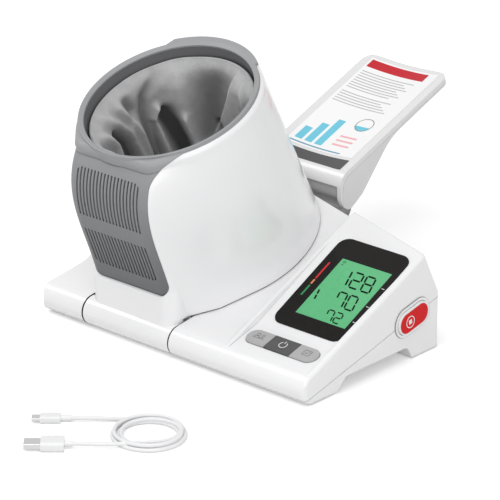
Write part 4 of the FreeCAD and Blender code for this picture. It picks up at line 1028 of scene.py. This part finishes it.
# The memory symbol: a frame and a tick inside it.
MEMORY_LINE = 0.5
MEMORY = (
    [(-3.6, -1.8), (3.6, -1.8), (3.6, 4.2), (-3.6, 4.2), (-3.6, -1.8)],
    [(-2.0, 1.4), (-0.6, 0.1), (2.3, 3.0)])
# The stop symbol: its height on the button, its ring's centre, radius and line, and the square.
STOP_LEVEL, STOP_CENTRE, STOP_RADIUS, STOP_LINE = 2.62, (-5.2, -0.4), 4.9, 0.8
STOP_SQUARE = 3.8


class MONITOR_OT_keys(bpy.types.Operator):
    """Finish the three keys and print their symbols"""

    bl_idname = "monitor.keys"
    bl_label = "Keys"

    def execute(self, context):
        dress(moulded("key_grey", grey(174), 0.42, grain=0.5, depth=0.015),
              "left_button", "right_button")
        dress(moulded("key_charcoal", grey(74), 0.42, grain=0.5, depth=0.015), "power_button")
        dark = moulded("key_print_dark", grey(96), 0.6)
        pale = moulded("key_print_pale", grey(226), 0.6)

        power = Marks(KEYS, KEY_TOP)
        power.arc((0, POWER_Y), POWER_RADIUS, POWER_LINE, *POWER_OPEN)
        power.stroke(*((0, y) for y in POWER_STEM), POWER_LINE)
        power.build("power_symbol", pale, "power_key")

        users = Marks(KEYS, KEY_TOP)
        for offset, radius in PEOPLE:
            x, reach = offset - SIDE_KEY_X, radius * FOOT_REACH
            users.arc((x, HEAD_LEVEL), radius, PEOPLE_LINE)
            users.arc((x, SHOULDER_LEVEL), radius * SHOULDER_REACH, PEOPLE_LINE, start=10, end=170)
            users.stroke((x - reach, FOOT_LEVEL), (x + reach, FOOT_LEVEL), PEOPLE_LINE)
        users.build("people_symbol", dark, "left_key")

        memory = Marks(KEYS, KEY_TOP)
        for line in MEMORY:
            corners = [(SIDE_KEY_X + x, y) for x, y in line]
            for ends in zip(corners, corners[1:]):
                memory.stroke(*ends, MEMORY_LINE)
        memory.build("memory_symbol", dark, "right_key")
        return {"FINISHED"}


class MONITOR_OT_stop(bpy.types.Operator):
    """Finish the stop button and print its symbol"""

    bl_idname = "monitor.stop"
    bl_label = "Stop button"

    def execute(self, context):
        settings = context.scene.monitor_display
        red = moulded("stop_red", settings.red, 0.35, 0.05, grain=1.2, depth=0.004, mottle=0.02)
        rim = from_stop_line(red) > STOP_FACE
        red.set(Base_Color=red.mix(rim, red.tint, grey(236)), Specular_IOR_Level=0.12)
        dress(red, "stop_button")
        symbol = Marks(STOP, STOP_LEVEL)
        symbol.arc(STOP_CENTRE, STOP_RADIUS, STOP_LINE)
        corner = (middle - STOP_SQUARE / 2 for middle in STOP_CENTRE)
        symbol.bar(*corner, STOP_SQUARE, STOP_SQUARE)
        white = moulded("print_white", grey(236), 0.5)
        symbol.build("stop_symbol", white, "stop_key")
        return {"FINISHED"}


# -------------------------------- tray

# Painted shadow on the bracket, darker towards its foot: where it starts, the height over which it
# clears, and how dark it is.
BRACKET_FOOT, BRACKET_RISE, BRACKET_SHADE = 58, 22, 0.3
# The card's print, in millimetres on the tray, as left, right, low and high.
BAND_BOX = (-36, 28, 133.5, 144)
BLOCK_BOXES = ((-33, -25, 25, 42), (-22, -14, 25, 52), (-11, -3, 25, 62))
BASE_BOX = (-35, 22, 20.5, 22)
PINK_BOXES = [(5, 24, low, low + 2.2) for low in (30, 36, 42)]
# Rules that stand for text: sides, levels, pitch, the inked share of it and how strong, the band
# left free, and how ragged the right ends are.
RULE_LEFT, RULE_RIGHT, RULE_LOW, RULE_HIGH = -35, 24, 81, 128.6
RULE_PITCH, RULE_SHARE, RULE_INK, RULE_FREE = 3.4, (0.34, 0.7), 0.6, (97.5, 101.4)
RAGGED_STEP, RAGGED_REACH = 7.31, 13
# The dial: centre, radius, line, and the level up to which it is full.
DIAL_X, DIAL_Y, DIAL_RADIUS, DIAL_LINE, DIAL_FULL = 17, 63, 8.2, 0.9, 60.5


class MONITOR_OT_tray(bpy.types.Operator):
    """Finish the tray and print its instruction card"""

    bl_idname = "monitor.tray"
    bl_label = "Tray and card"

    def execute(self, context):
        settings = context.scene.monitor_tray
        dress(glossy_shell("tray_white", grey(227), 0.26, 0.45), "tray_top")
        # The underside is the same white plastic as the top, painted a darker grey as painted
        # shade.
        dress(moulded("tray_grey", grey(222), 0.4, 0.1), "tray_under")
        bracket = moulded("bracket_grey", grey(186), 0.45, grain=0.5, depth=0.02)
        # Painted shadow: the bracket darkens towards its foot, under the tray.
        height = (bracket.along(TABLE, TABLE.out) - BRACKET_FOOT) / BRACKET_RISE
        bracket.set(Base_Color=bracket.mix(
            height, shade_of(bracket, BRACKET_SHADE), bracket.tint))
        dress(bracket, "tray_bracket")
        dress(moulded("strip_charcoal", grey(70), 0.5, grain=0.5, depth=0.02), "tray_strip")

        card = Finish("instruction_card")
        x = card.along(TRAY, TRAY.across)
        y = card.along(TRAY, TRAY.up)

        def box(left, right, low, high):
            return x.between(left, right) * y.between(low, high)

        fibre = card.noise(0.8, 2)
        colour = card.mix(fibre, grey(243), grey(250))
        colour = card.mix(box(*BAND_BOX), colour, settings.title)
        line = (y - RULE_LOW) / RULE_PITCH
        jitter = ((line.floor() * RAGGED_STEP) % 1.0) * RAGGED_REACH
        ink = (line % 1.0).between(*RULE_SHARE) * y.between(RULE_LOW, RULE_HIGH)
        ink = ink * (x > RULE_LEFT) * ((x + jitter) < RULE_RIGHT) * (1 - y.between(*RULE_FREE))
        colour = card.mix(ink * RULE_INK, colour, grey(128))
        for block in BLOCK_BOXES:
            colour = card.mix(box(*block), colour, settings.tint)
        colour = card.mix(box(*BASE_BOX), colour, paint(96, 150, 176))
        reach = ((x - DIAL_X) ** 2 + (y - DIAL_Y) ** 2) ** 0.5
        ring = reach.between(DIAL_RADIUS, DIAL_RADIUS + DIAL_LINE)
        colour = card.mix(ring, colour, grey(128))
        colour = card.mix((reach < DIAL_RADIUS) * (y < DIAL_FULL), colour, settings.tint)
        for block in PINK_BOXES:
            colour = card.mix(box(*block), colour, paint(240, 176, 182))
        card.set(Base_Color=colour, Roughness=0.45 + (fibre - 0.5) * 0.06, Coat_Weight=0.1,
                 Coat_Roughness=0.15, Specular_IOR_Level=0.25)
        dress(card, "tray_label")
        return {"FINISHED"}


# -------------------------------- studio

# The floor: greys of its mottle and of what the camera sees, its glow and its reach in metres.
FLOOR_DARK, FLOOR_PALE, FLOOR_SEEN, FLOOR_GLOW, FLOOR_REACH = 222, 226, 249, 0.27, 4.0
# The lamps: name, place and size, and the point that all look at, in metres.
LAMPS = (
    ("key", (0.35, -0.95, 2.1), 1.6), ("top", (-1.35, -0.65, 1.7), 0.7),
    ("fill", (1.5, -1.3, 0.7), 1.4))
AIM = Vector((0, -0.05, 0.08))


class MONITOR_OT_studio(bpy.types.Operator):
    """Lay the floor and set the lamps"""

    bl_idname = "monitor.studio"
    bl_label = "Studio"

    def execute(self, context):
        settings = context.scene.monitor_studio
        scene = context.scene
        scene.view_settings.view_transform = "Standard"

        scene.world = bpy.data.worlds.new("studio")
        sky = Nodes(scene.world, "Background")
        ambient = (settings.ambient,) * 3 + (1,)
        sky.set(Strength=1.0, Color=sky.mix(sky.seen_rays(), ambient, (1, 1, 1, 1)))

        floor = Finish("studio_floor")
        seen = floor.seen_rays()
        dust_and_shade = floor.mix(floor.noise(60, 3), grey(FLOOR_DARK), grey(FLOOR_PALE))
        floor.set(
            Base_Color=floor.mix(seen, dust_and_shade, grey(FLOOR_SEEN)), Roughness=0.9,
            Emission_Color=floor.mix(seen, (0, 0, 0, 1), (1, 1, 1, 1)),
            Emission_Strength=FLOOR_GLOW, Specular_IOR_Level=0.1)
        corners = [
            (x * FLOOR_REACH, y * FLOOR_REACH, 0)
            for x, y in ((-1, -1), (1, -1), (1, 1), (-1, 1))]
        ground = put_mesh("floor", corners, [(0, 1, 2, 3)], floor)

        for name, location, size in LAMPS:
            data = bpy.data.lights.new(f"{name}_lamp", "AREA")
            data.energy = getattr(settings, f"{name}_power")
            data.size = size
            lamp = put(f"{name}_lamp", data)
            lamp.location = location
            lamp.rotation_euler = (AIM - Vector(location)).to_track_quat("-Z", "Y").to_euler()
        return {"FINISHED"}


OPERATORS = [
    MONITOR_OT_camera, MONITOR_OT_cable, MONITOR_OT_housing, MONITOR_OT_cuff, MONITOR_OT_display,
    MONITOR_OT_keys, MONITOR_OT_stop, MONITOR_OT_tray, MONITOR_OT_studio]


class MONITOR_PT_panel(bpy.types.Panel):
    """Lists the monitor's steps and sizes"""

    bl_idname = "MONITOR_PT_panel"
    bl_label = "Monitor"
    bl_space_type = "VIEW_3D"
    bl_region_type = "UI"
    bl_category = "Monitor"

    def draw(self, context):
        for operator in OPERATORS:
            self.layout.operator(operator.bl_idname)
        for name, group in SETTINGS.items():
            box = self.layout.box()
            for key in group.__annotations__:
                box.prop(getattr(context.scene, name), key)


def register():
    for name, group in SETTINGS.items():
        bpy.utils.register_class(group)
        setattr(bpy.types.Scene, name, PointerProperty(type=group))
    for made in OPERATORS + [MONITOR_PT_panel]:
        bpy.utils.register_class(made)


def unregister():
    for made in reversed(OPERATORS + [MONITOR_PT_panel]):
        bpy.utils.unregister_class(made)
    for name, group in SETTINGS.items():
        delattr(bpy.types.Scene, name)
        bpy.utils.unregister_class(group)


def main():
    register()
    for operator in OPERATORS:
        group, name = operator.bl_idname.split(".")
        getattr(getattr(bpy.ops, group), name)()


if __name__ == "__main__":
    main()
